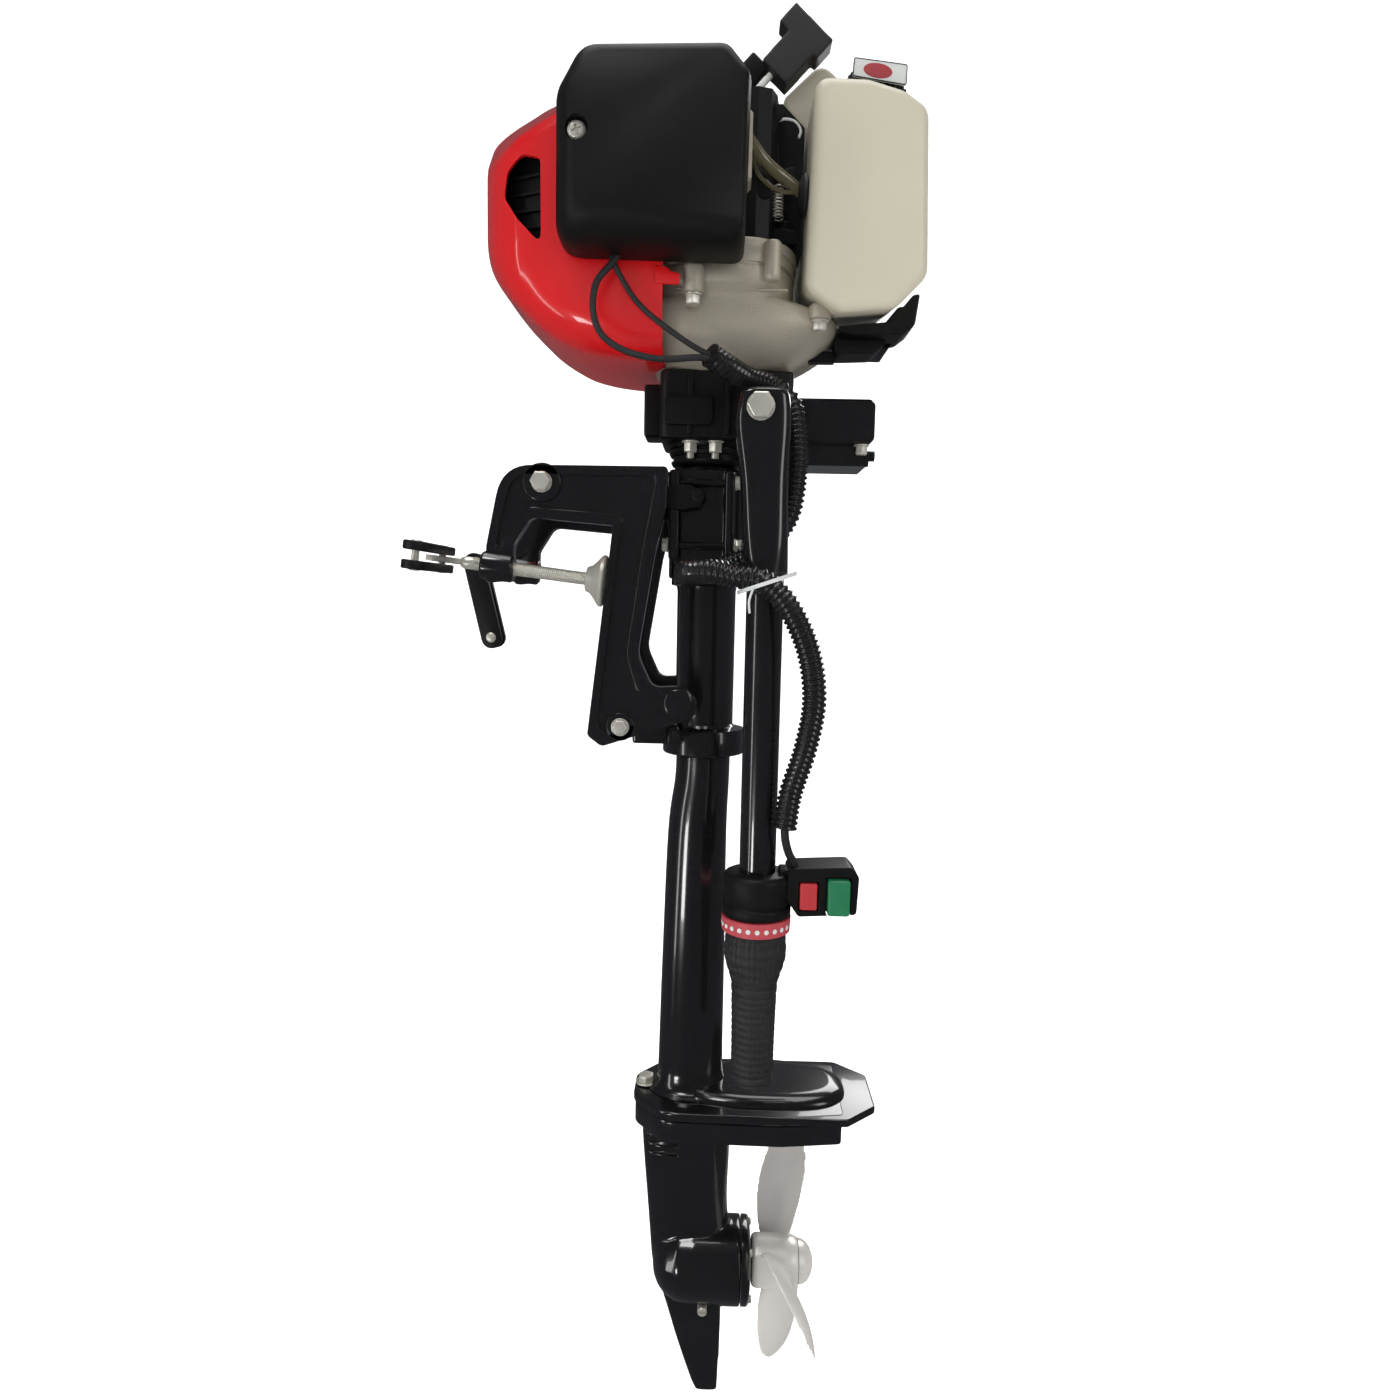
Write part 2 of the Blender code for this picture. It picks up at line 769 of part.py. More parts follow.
def build_drive():
    shaft = rod((COLUMN_X, 0, 112), (COLUMN_X, 0, -506), 5.0, 16)
    pinion = toothed_disc((COLUMN_X, 0, -505.5), (0, 0, 1), 12, 8.6, 6)
    drum = turned((COLUMN_X, 0, 110), (0, 0, 1), [(0, 34), (20, 34)], 20)
    hollow = rod((COLUMN_X, 0, 113), (COLUMN_X, 0, 140), 31, 20)
    make("drive_shaft", "shaft", "zinc_steel", drum, add=[shaft, pinion], cut=[hollow])
    wheel = turned((COLUMN_X, 0, 134), (0, 0, 1), [(0, 35.5), (18, 35.5), (19, 33), (22, 33)], 24)
    shoes = turned((COLUMN_X, 0, 115), (0, 0, 1), [(0, 28.5), (14, 28.5), (19, 20)], 20)
    crank = rod((COLUMN_X, 0, 150), (COLUMN_X, 0, 214), 7.5, 16)
    make("flywheel", "crank", "cast_aluminium", wheel, add=[shoes, crank])


def build_head():
    upper = slab(
        rounded([(30, -34, 8), (96, -34, 8), (112, -30, 8), (112, 30, 8), (96, 34, 8), (30, 34, 8)]),
        "Z",
        HEAD_LOW,
        HEAD_TOP,
    )
    collar = turned(
        (COLUMN_X, 0, 43.6),
        (0, 0, 1),
        [(0, 24), (3, 26), (3.5, 24.5), (7, 24.5), (7.5, 27), (20, 29)],
        24,
    )
    ear = rod((TILLER_PIVOT_X, -52.5, TILLER_PIVOT_Z), (TILLER_PIVOT_X, -30, TILLER_PIVOT_Z), 9, 20)
    strip = block((18.4, -14, 62), (31, 14, 96))
    make(
        "head_casting",
        "motor",
        "satin_black",
        upper,
        add=[collar, ear, strip],
        cut=[
            rod((COLUMN_X, 0, 30), (COLUMN_X, 0, 94.5), LEG_TUBE_R + 0.3, 24),
            rod((COLUMN_X, 0, 80), (COLUMN_X, 0, 120), 8, 20),
            rod(
                (TILLER_PIVOT_X, -60, TILLER_PIVOT_Z),
                (TILLER_PIVOT_X, -38, TILLER_PIVOT_Z),
                5.4,
                20,
            ),
        ],
        bevel=1.5,
    )
    cover = slab(rounded([(33, 66, 3), (64, 66, 3), (64, 84, 3), (33, 84, 3)]), "Y", -37.5, -34.4)
    make("head_cover", "motor", "satin_black", cover, bevel=0.8)
    carry = slab(
        rounded([(112.4, 58, 2), (168, 58, 4), (168, 86, 4), (112.4, 86, 2)]),
        "Y",
        -26,
        26,
    )
    foot = block((124, -20, 44.5), (164, 20, 59))
    bolts = [
        rod((118, y, 52), (170, y, 52), 3.4, 12)
        for y in (-13, 13)
    ]
    make("carry_block", "motor", "gloss_black", carry, add=[foot] + bolts, bevel=1.5)


# ---------------------------------------------------------------- engine


def housing_ring(z, half_x, half_y, power=3.0):
    return oval((COLUMN_X + 6, 0, z), half_x, half_y, power, 24)


def build_engine():
    body = solid_from_rings(
        [
            housing_ring(ENGINE_LOW, 46, 42, 2.4),
            housing_ring(106, 58, 47, 2.6),
            housing_ring(118, 72, 53),
            housing_ring(126, 77, 54),
            housing_ring(134, 73, 54),
            housing_ring(137, 47, 54),
            housing_ring(144, 46, 54),
            housing_ring(144.5, 46, 60),
            housing_ring(ENGINE_SPLIT, 46, 60),
        ]
    )
    hollow = slab([(p.x, p.y) for p in oval((68, 0, 0), 43, 50, 3.0, 24)], "Z", 108, 160)
    neck = rod((COLUMN_X, 0, 90), (COLUMN_X, 0, 110), 7, 20)
    top = rod((COLUMN_X, 0, 150), (COLUMN_X, 0, 180), 9, 20)
    bosses = [
        turned((46, -60, 142), (0, 0, 1), [(0, 6), (28, 6)], 16),
        turned((126, -45, 117), (0, 0, 1), [(0, 7), (16, 7)], 16),
    ]
    make("fan_housing", "motor", "cast_aluminium", body, add=bosses, cut=[hollow, neck, top])
    for word, x, y, z in (("front", 46, -60, 135.5), ("rear", 126, -46, 110.5)):
        make(
            f"housing_bolt_{word}",
            "motor",
            "zinc_steel",
            hexagon((x, y, z), (0, 0, 1), 8, 6.2),
            bevel=0.6,
        )
    case = slab(
        rounded([(28, -48, 12), (98, -48, 12), (104, 0, 0), (98, 48, 12), (28, 48, 12)]),
        "Z",
        ENGINE_SPLIT + GAP,
        CRANKCASE_TOP,
    )
    crank_space = rod((COLUMN_X, 0, 160), (COLUMN_X, 0, 240), 38, 24)
    intake_side = slab(
        [Vector(p) for p in ((92, 173), (117, 173), (117, 248), (103, 261.8), (92, 261.8))],
        "Y",
        -28,
        -4,
    )
    make("crankcase", "motor", "satin_black", case, add=[intake_side], cut=[crank_space])
    barrel = rod((27.6, 0, 217), (-58, 0, 217), 30, 24)
    fins = [
        slab(rounded([(-40, 182, 8), (40, 182, 8), (40, 252, 8), (-40, 252, 8)]), "X", x, x + 3.2)
        for x in (-54, -44, -34, -24, -14, -4)
    ]
    plug_hole = rod((-50, 0, 217), (-70, 0, 217), 6.6, 12)
    make("cylinder", "motor", "cast_aluminium", barrel, add=fins, cut=[plug_hole])
    make(
        "spark_plug",
        "motor",
        "satin_black",
        turned((-56, 0, 217), (-1, 0, 0), [(0, 6), (4, 6), (4.5, 9), (18, 9), (20, 6)], 12),
    )
    build_shroud()
    build_intake()
    make(
        "muffler",
        "motor",
        "satin_black",
        slab(rounded([(-20, 160, 12), (74, 160, 12), (74, 246, 12), (-20, 246, 12)]), "Y", 76, 108),
        add=[block((36, 48.4, 190), (58, 78, 216))],
        bevel=3,
    )
    recoil = turned(
        (COLUMN_X - 14, 0, CRANKCASE_TOP + GAP), (0, 0, 1), [
            (0, 50),
            (10, 50),
            (20, 42),
            (RECOIL_TOP - 270.3, 26),
        ], 24
    )
    guide = bar((83, 13, 298), STARTER_AXIS, (0, 1, 0), 11, 8, 7)
    channel = rod(STARTER_FOOT - STARTER_AXIS * 30, STARTER_FOOT + STARTER_AXIS * 20, 3.2, 12)
    make("recoil_housing", "motor", "satin_black", recoil, add=[guide], cut=[channel])


def shroud_outline(inset):
    corners = [
        (-45, 270), (-70, 249), (-86, 239), (-87, 172), (-76, 152), (-49, 119), (-29, 109),
        (19, 94), (36, 94), (36, 256.3), (-12, 256.3), (-16, 270),
    ]
    middle = Vector((-20, 185))
    shifted = []
    for x, z in corners:
        towards = middle - Vector((x, z))
        shifted.append(Vector((x, z)) + towards.normalized() * inset)
    return [(p.x, p.y, 12 if p.x < -20 else 0) for p in shifted]


def plan_outline(inset):
    return rounded(
        [
            (-87.5 + inset, -30 + inset, 26),
            (-60 + inset, -58 + inset, 26),
            (36, -68.5 + inset, 0),
            (36, 68.5 - inset, 0),
            (-60 + inset, 58 - inset, 26),
            (-87.5 + inset, 30 - inset, 26),
        ],
        4,
    )


def build_shroud():
    side = slab(rounded(shroud_outline(0), 2), "Y", -80, 80)
    plan = slab(plan_outline(0), "Z", 80, 290)
    inner_side = slab([(x, z) for x, z in rounded(shroud_outline(3.2), 2)], "Y", -90, 90)
    inner_plan = slab(plan_outline(3.2), "Z", 70, 300)
    shroud = make("engine_shroud", "motor", "red_cover", side)
    outer_plan = helper("engine_shroud.plan", plan, "motor")
    keep = shroud.modifiers.new("plan", "BOOLEAN")
    keep.operation = "INTERSECT"
    keep.object = outer_plan
    inner = helper("engine_shroud.inner", inner_side, "motor")
    trim = inner.modifiers.new("plan", "BOOLEAN")
    trim.operation = "INTERSECT"
    trim.object = helper("engine_shroud.inner_plan", inner_plan, "motor")
    hollow = shroud.modifiers.new("hollow", "BOOLEAN")
    hollow.operation = "DIFFERENCE"
    hollow.object = inner
    mouth = shroud.modifiers.new("mouth", "BOOLEAN")
    mouth.operation = "DIFFERENCE"
    mouth.object = helper("engine_shroud.mouth", block((33.5, -90, 80), (50, 90, 290)), "motor")
    heel = shroud.modifiers.new("heel", "BOOLEAN")
    heel.operation = "DIFFERENCE"
    heel.object = helper("engine_shroud.heel", block((17.5, -90, 80), (50, 90, 97)), "motor")
    notch = shroud.modifiers.new("notch", "BOOLEAN")
    notch.operation = "DIFFERENCE"
    notch.object = helper(
        "engine_shroud.notch",
        block((27.5, -48.6, 240), (50, 48.6, 290)),
        "motor",
    )
    vent = shroud.modifiers.new("vent", "BOOLEAN")
    vent.operation = "DIFFERENCE"
    vent.object = helper(
        "engine_shroud.vent",
        slab(
            rounded([(-74, 228, 5), (-62, 238, 4), (-52, 232, 6), (-50, 188, 3), (-72, 206, 8)]),
            "Y",
            -80,
            -40,
        ),
        "motor",
    )


def build_intake():
    cover = slab(
        rounded(
            [
                (-25, 158, 14),
                (78, 152, 6),
                (81, 238, 8),
                (68, 253, 8),
                (-12, 250, 16),
                (-25, 232, 12),
            ]
        ),
        "Y",
        -106,
        -68.8,
    )
    recess = rod((-14, -115, 209), (-14, -103, 209), 5.5, 16)
    make("air_filter_cover", "motor", "satin_black", cover, cut=[recess], bevel=5)
    make(
        "cover_screw",
        "motor",
        "zinc_steel",
        turned((-14, -105.6, 209), (0, 1, 0), [(0, 4.6), (2.2, 4.6)], 16),
    )
    make(
        "carburettor",
        "motor",
        "cast_aluminium",
        block((40, -68.4, 200), (84, -48.4, 240)),
        add=[rod((62, -58.6, 190), (62, -58.6, 250), 9, 16)],
        bevel=2,
    )


def build_tank():
    body = slab(
        rounded(
            [
                (119, 262, 6),
                (156, 262, 8),
                (186, 250, 10),
                (191, 144, 10),
                (178, 130, 8),
                (138, 127, 10),
                (118, 140, 10),
            ]
        ),
        "Y",
        -66,
        66,
    )
    lobe = slab(
        rounded([(107, 263, 6), (134, 300, 8), (158, 262, 6), (158, 230, 0), (119.5, 230, 0)]),
        "Y",
        -1,
        50,
    )
    neck = rod((160, -22, 255), (160, -22, 270), 14, 20)
    hollow = block((124, -60, 146), (180, 60, 240))
    mouth = rod((160, -22, 235), (160, -22, 280), 11, 20)
    seat = rod((110, -44, 197), (126, -44, 197), 6.4, 16)
    saddle = block((110, -55.5, 120), (147, 55.5, 139))
    make(
        "fuel_tank",
        "motor",
        "tank_white",
        body,
        add=[lobe, neck],
        cut=[hollow, mouth, seat, saddle],
        bevel=4,
    )
    make(
        "fuel_grommet",
        "motor",
        "rubber_black",
        turned(
            (123.6, -44, 197),
            (-1, 0, 0),
            [(0, 6.1), (5.2, 6.1), (5.6, 12), (8, 11), (11, 6)],
            16,
        ),
        cut=[rod((130, -44, 197), (100, -44, 197), HOSE_R + 0.8, 12)],
    )
    make(
        "fuel_cap",
        "cap",
        "satin_black",
        turned((160, -22, 264), (0, 0, 1), [(0, 20), (12, 20), (15, 18), (28, 17)], 20),
        cut=[rod((160, -22, 255), (160, -22, 271), 14.3, 20)],
    )
    foot = slab(
        rounded(
            [
                (147, 126, 3),
                (150, 118, 6),
                (184, 118, 6),
                (192, 126, 5),
                (191.5, 143, 4),
                (179, 129.4, 0),
                (147, 126.4, 0),
            ]
        ),
        "Y",
        -40,
        40,
    )
    strut = slab(
        rounded([(138, 104, 4), (166, 106, 6), (176, 119, 4), (141, 119, 4)]),
        "Y",
        -10,
        34,
    )
    make("engine_foot", "motor", "satin_black", foot, add=[strut], bevel=1.5)


def build_starter():
    side = Vector((STARTER_AXIS.z, 0, -STARTER_AXIS.x))
    foot = STARTER_FOOT
    stem = bar(foot + STARTER_AXIS * 16, STARTER_AXIS, (0, 1, 0), 16, 10, 8)
    cross = bar(foot + STARTER_AXIS * 33 + side * 1, side, (0, 1, 0), 19, 8, 8)
    hole = rod(foot - STARTER_AXIS * 2, foot + STARTER_AXIS * 22, 3.0, 12)
    make("starter_handle", "starter", "rubber_black", stem, add=[cross], cut=[hole])
    make(
        "starter_rope",
        "starter",
        "rope_grey",
        rod(foot - STARTER_AXIS * 20, foot + STARTER_AXIS * 20, 2.2, 12),
    )


# ---------------------------------------------------------------- tiller


def build_tiller():
    x, y = TILLER_TUBE_X, TILLER_Y
    arm = solid_from_rings(
        [
            oval((95, y, 82), 15, 11, 4, 20),
            oval((94.5, y, 60), 17, 12, 4, 20),
            oval((96, y, 30), 14.5, 11.5, 3.4, 20),
            oval((97.5, y, -5), 14, 12.5, 3, 20),
            oval((x, y, -30), 13.5, 13.5, 2, 20),
        ]
    )
    seat = rod((x, y, -60), (x, y, -8), TILLER_TUBE_R + 0.2, 24)
    pivot_hole = rod(
        (TILLER_PIVOT_X, -90, TILLER_PIVOT_Z),
        (TILLER_PIVOT_X, -40, TILLER_PIVOT_Z),
        5.4,
        20,
    )
    make("tiller_arm", "tiller", "gloss_black", arm, cut=[seat, pivot_hole])
    make("tiller_tube", "tiller", "gloss_black", rod((x, y, -10), (x, y, GRIP_END + 30), TILLER_TUBE_R, 24),
         cut=[rod((x, y, -100), (x, y, GRIP_END), 9, 20)])
    make(
        "tiller_pivot_bolt",
        "motor",
        "zinc_steel",
        rod((TILLER_PIVOT_X, -79, TILLER_PIVOT_Z), (TILLER_PIVOT_X, -39, TILLER_PIVOT_Z), 5.0, 20),
        add=[hexagon((TILLER_PIVOT_X, -85, TILLER_PIVOT_Z), (0, 1, 0), 17, 6.6)],
    )
    collar = turned(
        (x, y, COLLAR_TOP),
        (0, 0, -1),
        [(0, 20), (3, 21.7), (19, 21.7), (19.5, 20.5), (20.5, 20.5), (21, 21.7), (34, 21.7)],
        20,
    )
    box = slab(
        rounded(
            [
                (117, -208, 4),
                (156, -206, 4),
                (161, -212, 4),
                (160, -236, 3),
                (124, -238, 3),
                (117, -228, 4),
            ]
        ),
        "Y",
        y - 12,
        y + 14,
    )
    neck = block((110, y - 8, -228), (120, y + 8, -212))
    sockets = [
        block((124, y - 20, -234), (136, y - 2.6, -216)),
        block((141, y - 20, -237), (156, y - 2.6, -213)),
    ]
    make(
        "switch_housing",
        "tiller",
        "satin_black",
        collar,
        add=[neck, box],
        cut=[rod((x, y, -200), (x, y, -260), TILLER_TUBE_R + 0.3, 24)] + sockets,
    )
    make(
        "stop_button",
        "stop",
        "button_red",
        block((124.4, y - 13.5, -233.6), (135.6, y - 5.4, -216.4)),
        bevel=0.8,
    )
    make(
        "start_button",
        "start",
        "button_green",
        block((141.4, y - 16.5, -236.6), (155.6, y - 5.4, -213.4)),
        bevel=1.0,
    )
    grip = turned(
        (x, y, GRIP_TOP + 0.6),
        (0, 0, -1),
        [
            (0, 16),
            (2, 18.5),
            (9, 20),
            (20, 19.8),
            (32, 16),
            (38, 14.2),
            (45, 14),
            (92, 13.6),
            (100, 13.8),
            (104, 11),
        ],
        20,
    )
    make(
        "throttle_grip",
        "grip",
        "rubber_black",
        grip,
        cut=[rod((x, y, -240), (x, y, GRIP_END + 26), TILLER_TUBE_R + 0.3, 24)],
    )


# ---------------------------------------------------------------- hoses, cables and conduit

CONDUIT_UPPER = [
    (64, -74, 93),
    (73, -65, 91),
    (84, -51, 90.5),
    (98, -44, 89),
    (111, -43.5, 80),
    (116, -43.5, 62),
    (117, -43.5, 38),
    (112, -43.5, 8),
    (92, -43.5, -14),
    (66, -45, -24),
    (51, -54, -27),
    (52, -70, -27),
    (66, -82, -27),
    (84, -86.6, -30),
]
CONDUIT_LOWER = [
    (84.6, -86.75, -30.1),
    (95.5, -89.5, -31.9),
    (111, -90, -46),
    (124, -86, -72),
    (129, -83, -102),
    (125, -80, -132),
    (117, -79, -160),
    (114, -79, -182),
]
THROTTLE_CABLE = [
    (0, -74, 150),
    (-4, -76, 143),
    (-11, -78, 125),
    (-3, -78, 106),
    (18, -78, 94),
    (44, -77, 92),
    (60, -75.5, 94.6),
]
STOP_WIRE = [
    (8, -74, 150),
    (12, -75, 142),
    (24, -75, 126),
    (42, -75, 112),
    (60, -74, 102.2),
]
FUEL_HOSE = [
    (85.6, -58, 225),
    (92, -58, 224),
    (102, -52, 210),
    (109, -46, 198),
    (113, -44, 197),
    (121.5, -44, 197),
]


def build_cords():
    cord("conduit_upper", "motor", "rubber_black", CONDUIT_UPPER, CONDUIT_R, 3)
    cord("conduit_lower", "tiller", "rubber_black", CONDUIT_LOWER, CONDUIT_R, 3)
    cord("throttle_cable", "motor", "rubber_black", THROTTLE_CABLE, CABLE_R)
    cord("stop_wire", "motor", "rubber_black", STOP_WIRE, CABLE_R)
    cord("fuel_hose", "motor", "rubber_black", FUEL_HOSE, HOSE_R)


build_clamp()
build_swivel()
build_leg()
build_head()
build_gearcase()
build_propeller()
build_drive()
build_engine()
build_tank()
build_starter()
build_tiller()
build_cords()
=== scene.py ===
"""The look of a portable outboard motor: camera, light, finishes and pieces.

Sizes are in millimetres and turn into metres at MM. +Z is up, +X aft, -Y port, and the origin
is at the transom seat.
"""

import json
from math import copysign, cos, pi, radians, sin, sqrt, tan
import bmesh
import bpy
from mathutils import Matrix, Vector


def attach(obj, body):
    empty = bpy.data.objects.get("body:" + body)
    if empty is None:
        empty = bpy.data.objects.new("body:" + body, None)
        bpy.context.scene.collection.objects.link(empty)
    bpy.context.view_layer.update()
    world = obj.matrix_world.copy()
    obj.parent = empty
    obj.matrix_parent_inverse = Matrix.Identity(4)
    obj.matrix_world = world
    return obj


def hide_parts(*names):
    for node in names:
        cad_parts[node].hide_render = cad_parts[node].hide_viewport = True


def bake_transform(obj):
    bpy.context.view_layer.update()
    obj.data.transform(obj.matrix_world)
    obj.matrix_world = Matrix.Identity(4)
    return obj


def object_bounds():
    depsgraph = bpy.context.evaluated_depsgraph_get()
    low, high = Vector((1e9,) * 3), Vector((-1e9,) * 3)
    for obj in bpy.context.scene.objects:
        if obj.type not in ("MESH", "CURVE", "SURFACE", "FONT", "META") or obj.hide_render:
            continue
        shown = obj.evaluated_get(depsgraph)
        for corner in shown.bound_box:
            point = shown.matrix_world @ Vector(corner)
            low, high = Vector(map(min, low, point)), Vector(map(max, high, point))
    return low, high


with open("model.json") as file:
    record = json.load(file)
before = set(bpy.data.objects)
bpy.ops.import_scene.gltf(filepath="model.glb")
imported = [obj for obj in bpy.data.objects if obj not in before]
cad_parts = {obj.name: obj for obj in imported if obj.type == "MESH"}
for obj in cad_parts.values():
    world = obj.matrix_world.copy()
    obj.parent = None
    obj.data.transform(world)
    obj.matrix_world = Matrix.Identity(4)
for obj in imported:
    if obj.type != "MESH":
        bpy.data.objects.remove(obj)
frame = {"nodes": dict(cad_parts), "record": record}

CAD_BOX = [list(corner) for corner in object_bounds()]
MM = 0.001
FORE, AFT = Vector((-1, 0, 0)), Vector((1, 0, 0))
PORT, STARBOARD = Vector((0, -1, 0)), Vector((0, 1, 0))
DOWN, UP = Vector((0, 0, -1)), Vector((0, 0, 1))


def turns(count):
    """Angles evenly round a circle."""
    return [2 * pi * i / count for i in range(count)]


# ---------------------------------------------------------------- camera, floor and light

CAMERA_PLACE = (0.0704, -0.651, -0.044)
CAMERA_YAW = radians(1.0)
CAMERA_PITCH = radians(-6.0)
CAMERA_ROLL = radians(1.2)
CAMERA_LENS = 24.43
FLOOR_Z = CAD_BOX[0][2] - 0.012
FLOOR_GLOW = 0.42


def add_camera():
    camera = bpy.data.cameras.new("camera")
    camera.lens = CAMERA_LENS
    camera.sensor_width = 36.0
    camera.clip_start = 0.01
    camera.clip_end = 50.0
    obj = bpy.data.objects.new("camera", camera)
    bpy.context.scene.collection.objects.link(obj)
    forward = Vector((-sin(CAMERA_YAW), cos(CAMERA_YAW), 0.0))
    right = Vector((cos(CAMERA_YAW), sin(CAMERA_YAW), 0.0))
    ahead = forward * cos(CAMERA_PITCH) + Vector((0, 0, sin(CAMERA_PITCH)))
    level_up = right.cross(ahead)
    across = right * cos(CAMERA_ROLL) + level_up * sin(CAMERA_ROLL)
    up = level_up * cos(CAMERA_ROLL) - right * sin(CAMERA_ROLL)
    turn = Matrix((across, up, -ahead)).transposed()
    obj.matrix_world = Matrix.Translation(CAMERA_PLACE) @ turn.to_4x4()
    bpy.context.scene.camera = obj


def add_area(name, spot, target, width, height, power, reflected):
    light = bpy.data.lights.new(name, "AREA")
    light.shape = "RECTANGLE"
    light.size = width
    light.size_y = height
    light.energy = power
    obj = bpy.data.objects.new(name, light)
    obj.visible_glossy = reflected
    bpy.context.scene.collection.objects.link(obj)
    aim = Vector(target) - Vector(spot)
    obj.matrix_world = Matrix.Translation(spot) @ aim.to_track_quat("-Z", "Y").to_matrix().to_4x4()


def fill(node, values):
    for name, value in values.items():
        node.inputs[name].default_value = value


def add_world():
    """White to the eye, and dimmer as a light and in reflections, as a studio's far walls are."""
    world = bpy.data.worlds.new("studio")
    world.use_nodes = True
    bpy.context.scene.world = world
    nodes, links = world.node_tree.nodes, world.node_tree.links
    nodes.clear()
    seen = nodes.new("ShaderNodeBackground")
    fill(seen, {"Color": (0.96, 0.96, 0.96, 1.0), "Strength": 1.0})
    lit = nodes.new("ShaderNodeBackground")
    fill(lit, {"Color": (0.90, 0.93, 1.0, 1.0), "Strength": 0.10})
    path = nodes.new("ShaderNodeLightPath")
    mix = nodes.new("ShaderNodeMixShader")
    out = nodes.new("ShaderNodeOutputWorld")
    links.new(path.outputs["Is Camera Ray"], mix.inputs["Fac"])
    links.new(lit.outputs["Background"], mix.inputs[1])
    links.new(seen.outputs["Background"], mix.inputs[2])
    links.new(mix.outputs["Shader"], out.inputs["Surface"])


def add_floor():
    """A pale floor that curves up into walls all round, so that no horizon shows."""
    flat, bend, height, sides = 2.6, 0.9, 3.6, 96
    profile = [(0.02, 0.0), (1.2, 0.0), (flat, 0.0)]
    for k in range(1, 13):
        turn = pi / 2 * k / 12
        profile.append((flat + bend * sin(turn), bend * (1 - cos(turn))))
    profile.append((flat + bend, height))
    points, faces = [], []
    for radius, rise in profile:
        points += [(radius * cos(turn), radius * sin(turn), FLOOR_Z + rise) for turn in turns(sides)]
    for row in range(len(profile) - 1):
        for i in range(sides):
            j = (i + 1) % sides
            faces.append((row * sides + j, row * sides + i, (row + 1) * sides + i, (row + 1) * sides + j))
    faces.append(tuple(range(sides)))
    mesh = bpy.data.meshes.new("floor")
    mesh.from_pydata(points, [], faces)
    mesh.shade_smooth()
    floor = bpy.data.objects.new("floor", mesh)
    floor.visible_glossy = False
    bpy.context.scene.collection.objects.link(floor)
    finish = solid_finish("studio_floor", (0.90, 0.90, 0.90), 0.8, mottle=0.01, grain=0.02)
    glow = {"Emission Color": (1.0, 1.0, 1.0, 1.0), "Emission Strength": FLOOR_GLOW}
    fill(finish.node_tree.nodes["Principled BSDF"], glow)
    mesh.materials.append(finish)


# Name, place, target, width, height, watts, and whether it shows in reflections.
LIGHTS = (
    ("front", (-0.5, -2.2, 0.7), (0.05, 0, -0.1), 1.6, 1.6, 9, False),
    ("key", (-0.55, -0.9, 1.7), (0.05, 0, -0.1), 0.5, 0.5, 9, True),
    ("strip_left", (-1.5, -1.0, -0.1), (0.05, 0, -0.2), 0.16, 1.8, 6, True),
    ("low_left", (-0.75, -1.15, -0.62), (0.0, 0, 0.15), 0.24, 0.24, 3.5, True),
    ("fill_right", (1.6, -1.4, 0.6), (0.05, 0, -0.1), 0.6, 1.0, 6, True),
    ("top", (0.1, 0.1, 2.2), (0.05, 0, 0), 1.8, 1.8, 34, True),
    ("rim_back", (0.9, 1.6, 0.9), (0.05, 0, 0), 1.0, 1.0, 18, True),
)


def add_studio():
    bpy.context.scene.view_settings.view_transform = "Standard"
    add_camera()
    add_world()
    add_floor()
    for row in LIGHTS:
        add_area(*row)


# ---------------------------------------------------------------- finishes


def solid_finish(name, colour, roughness, metallic=0.0, mottle=0.06, mottle_size=30.0, grain=0.05,
    grain_size=0.8, rough_spread=0.06, coat=0.0, specular=0.5, speck=0.0):
    """A finish whose colour, roughness and surface vary a little, as a real one does.

    mottle_size and grain_size are in millimetres. speck darkens small pits, as in a casting.
    """
    material = bpy.data.materials.new(name)
    material.use_nodes = True
    nodes, links = material.node_tree.nodes, material.node_tree.links
    shader = nodes["Principled BSDF"]
    coats = {"Coat Weight": coat, "Coat Roughness": 0.04, "Specular IOR Level": specular}
    fill(shader, {"Metallic": metallic, **coats})
    where = nodes.new("ShaderNodeTexCoord").outputs["Object"]

    def noise(size, detail):
        node = nodes.new("ShaderNodeTexNoise")
        fill(node, {"Scale": 1000.0 / size, "Detail": detail})
        links.new(where, node.inputs["Vector"])
        return node.outputs["Fac"]

    wide = noise(mottle_size, 4.0)
    tone = nodes.new("ShaderNodeMix")
    tone.data_type = "RGBA"
    tone.inputs["A"].default_value = (*[c * (1 - mottle) for c in colour], 1.0)
    tone.inputs["B"].default_value = (*[min(1.0, c * (1 + mottle)) for c in colour], 1.0)
    links.new(wide, tone.inputs["Factor"])
    base = tone.outputs["Result"]

    fine = noise(grain_size, 3.0)
    if speck:
        pits = nodes.new("ShaderNodeMapRange")
        fill(pits, {"From Min": 0.60, "From Max": 0.74})
        links.new(fine, pits.inputs["Value"])
        dark = nodes.new("ShaderNodeMix")
        dark.data_type = "RGBA"
        dark.inputs["B"].default_value = (*[c * (1 - speck) for c in colour], 1.0)
        links.new(pits.outputs["Result"], dark.inputs["Factor"])
        links.new(base, dark.inputs["A"])
        base = dark.outputs["Result"]
    links.new(base, shader.inputs["Base Color"])

    spread = nodes.new("ShaderNodeMapRange")
    low, high = max(0.02, roughness - rough_spread), min(1.0, roughness + rough_spread)
    fill(spread, {"To Min": low, "To Max": high})
    links.new(wide, spread.inputs["Value"])
    links.new(spread.outputs["Result"], shader.inputs["Roughness"])

    bump = nodes.new("ShaderNodeBump")
    fill(bump, {"Strength": grain, "Distance": grain_size * 0.4 * MM})
    links.new(fine, bump.inputs["Height"])
    links.new(bump.outputs["Normal"], shader.inputs["Normal"])
    return material


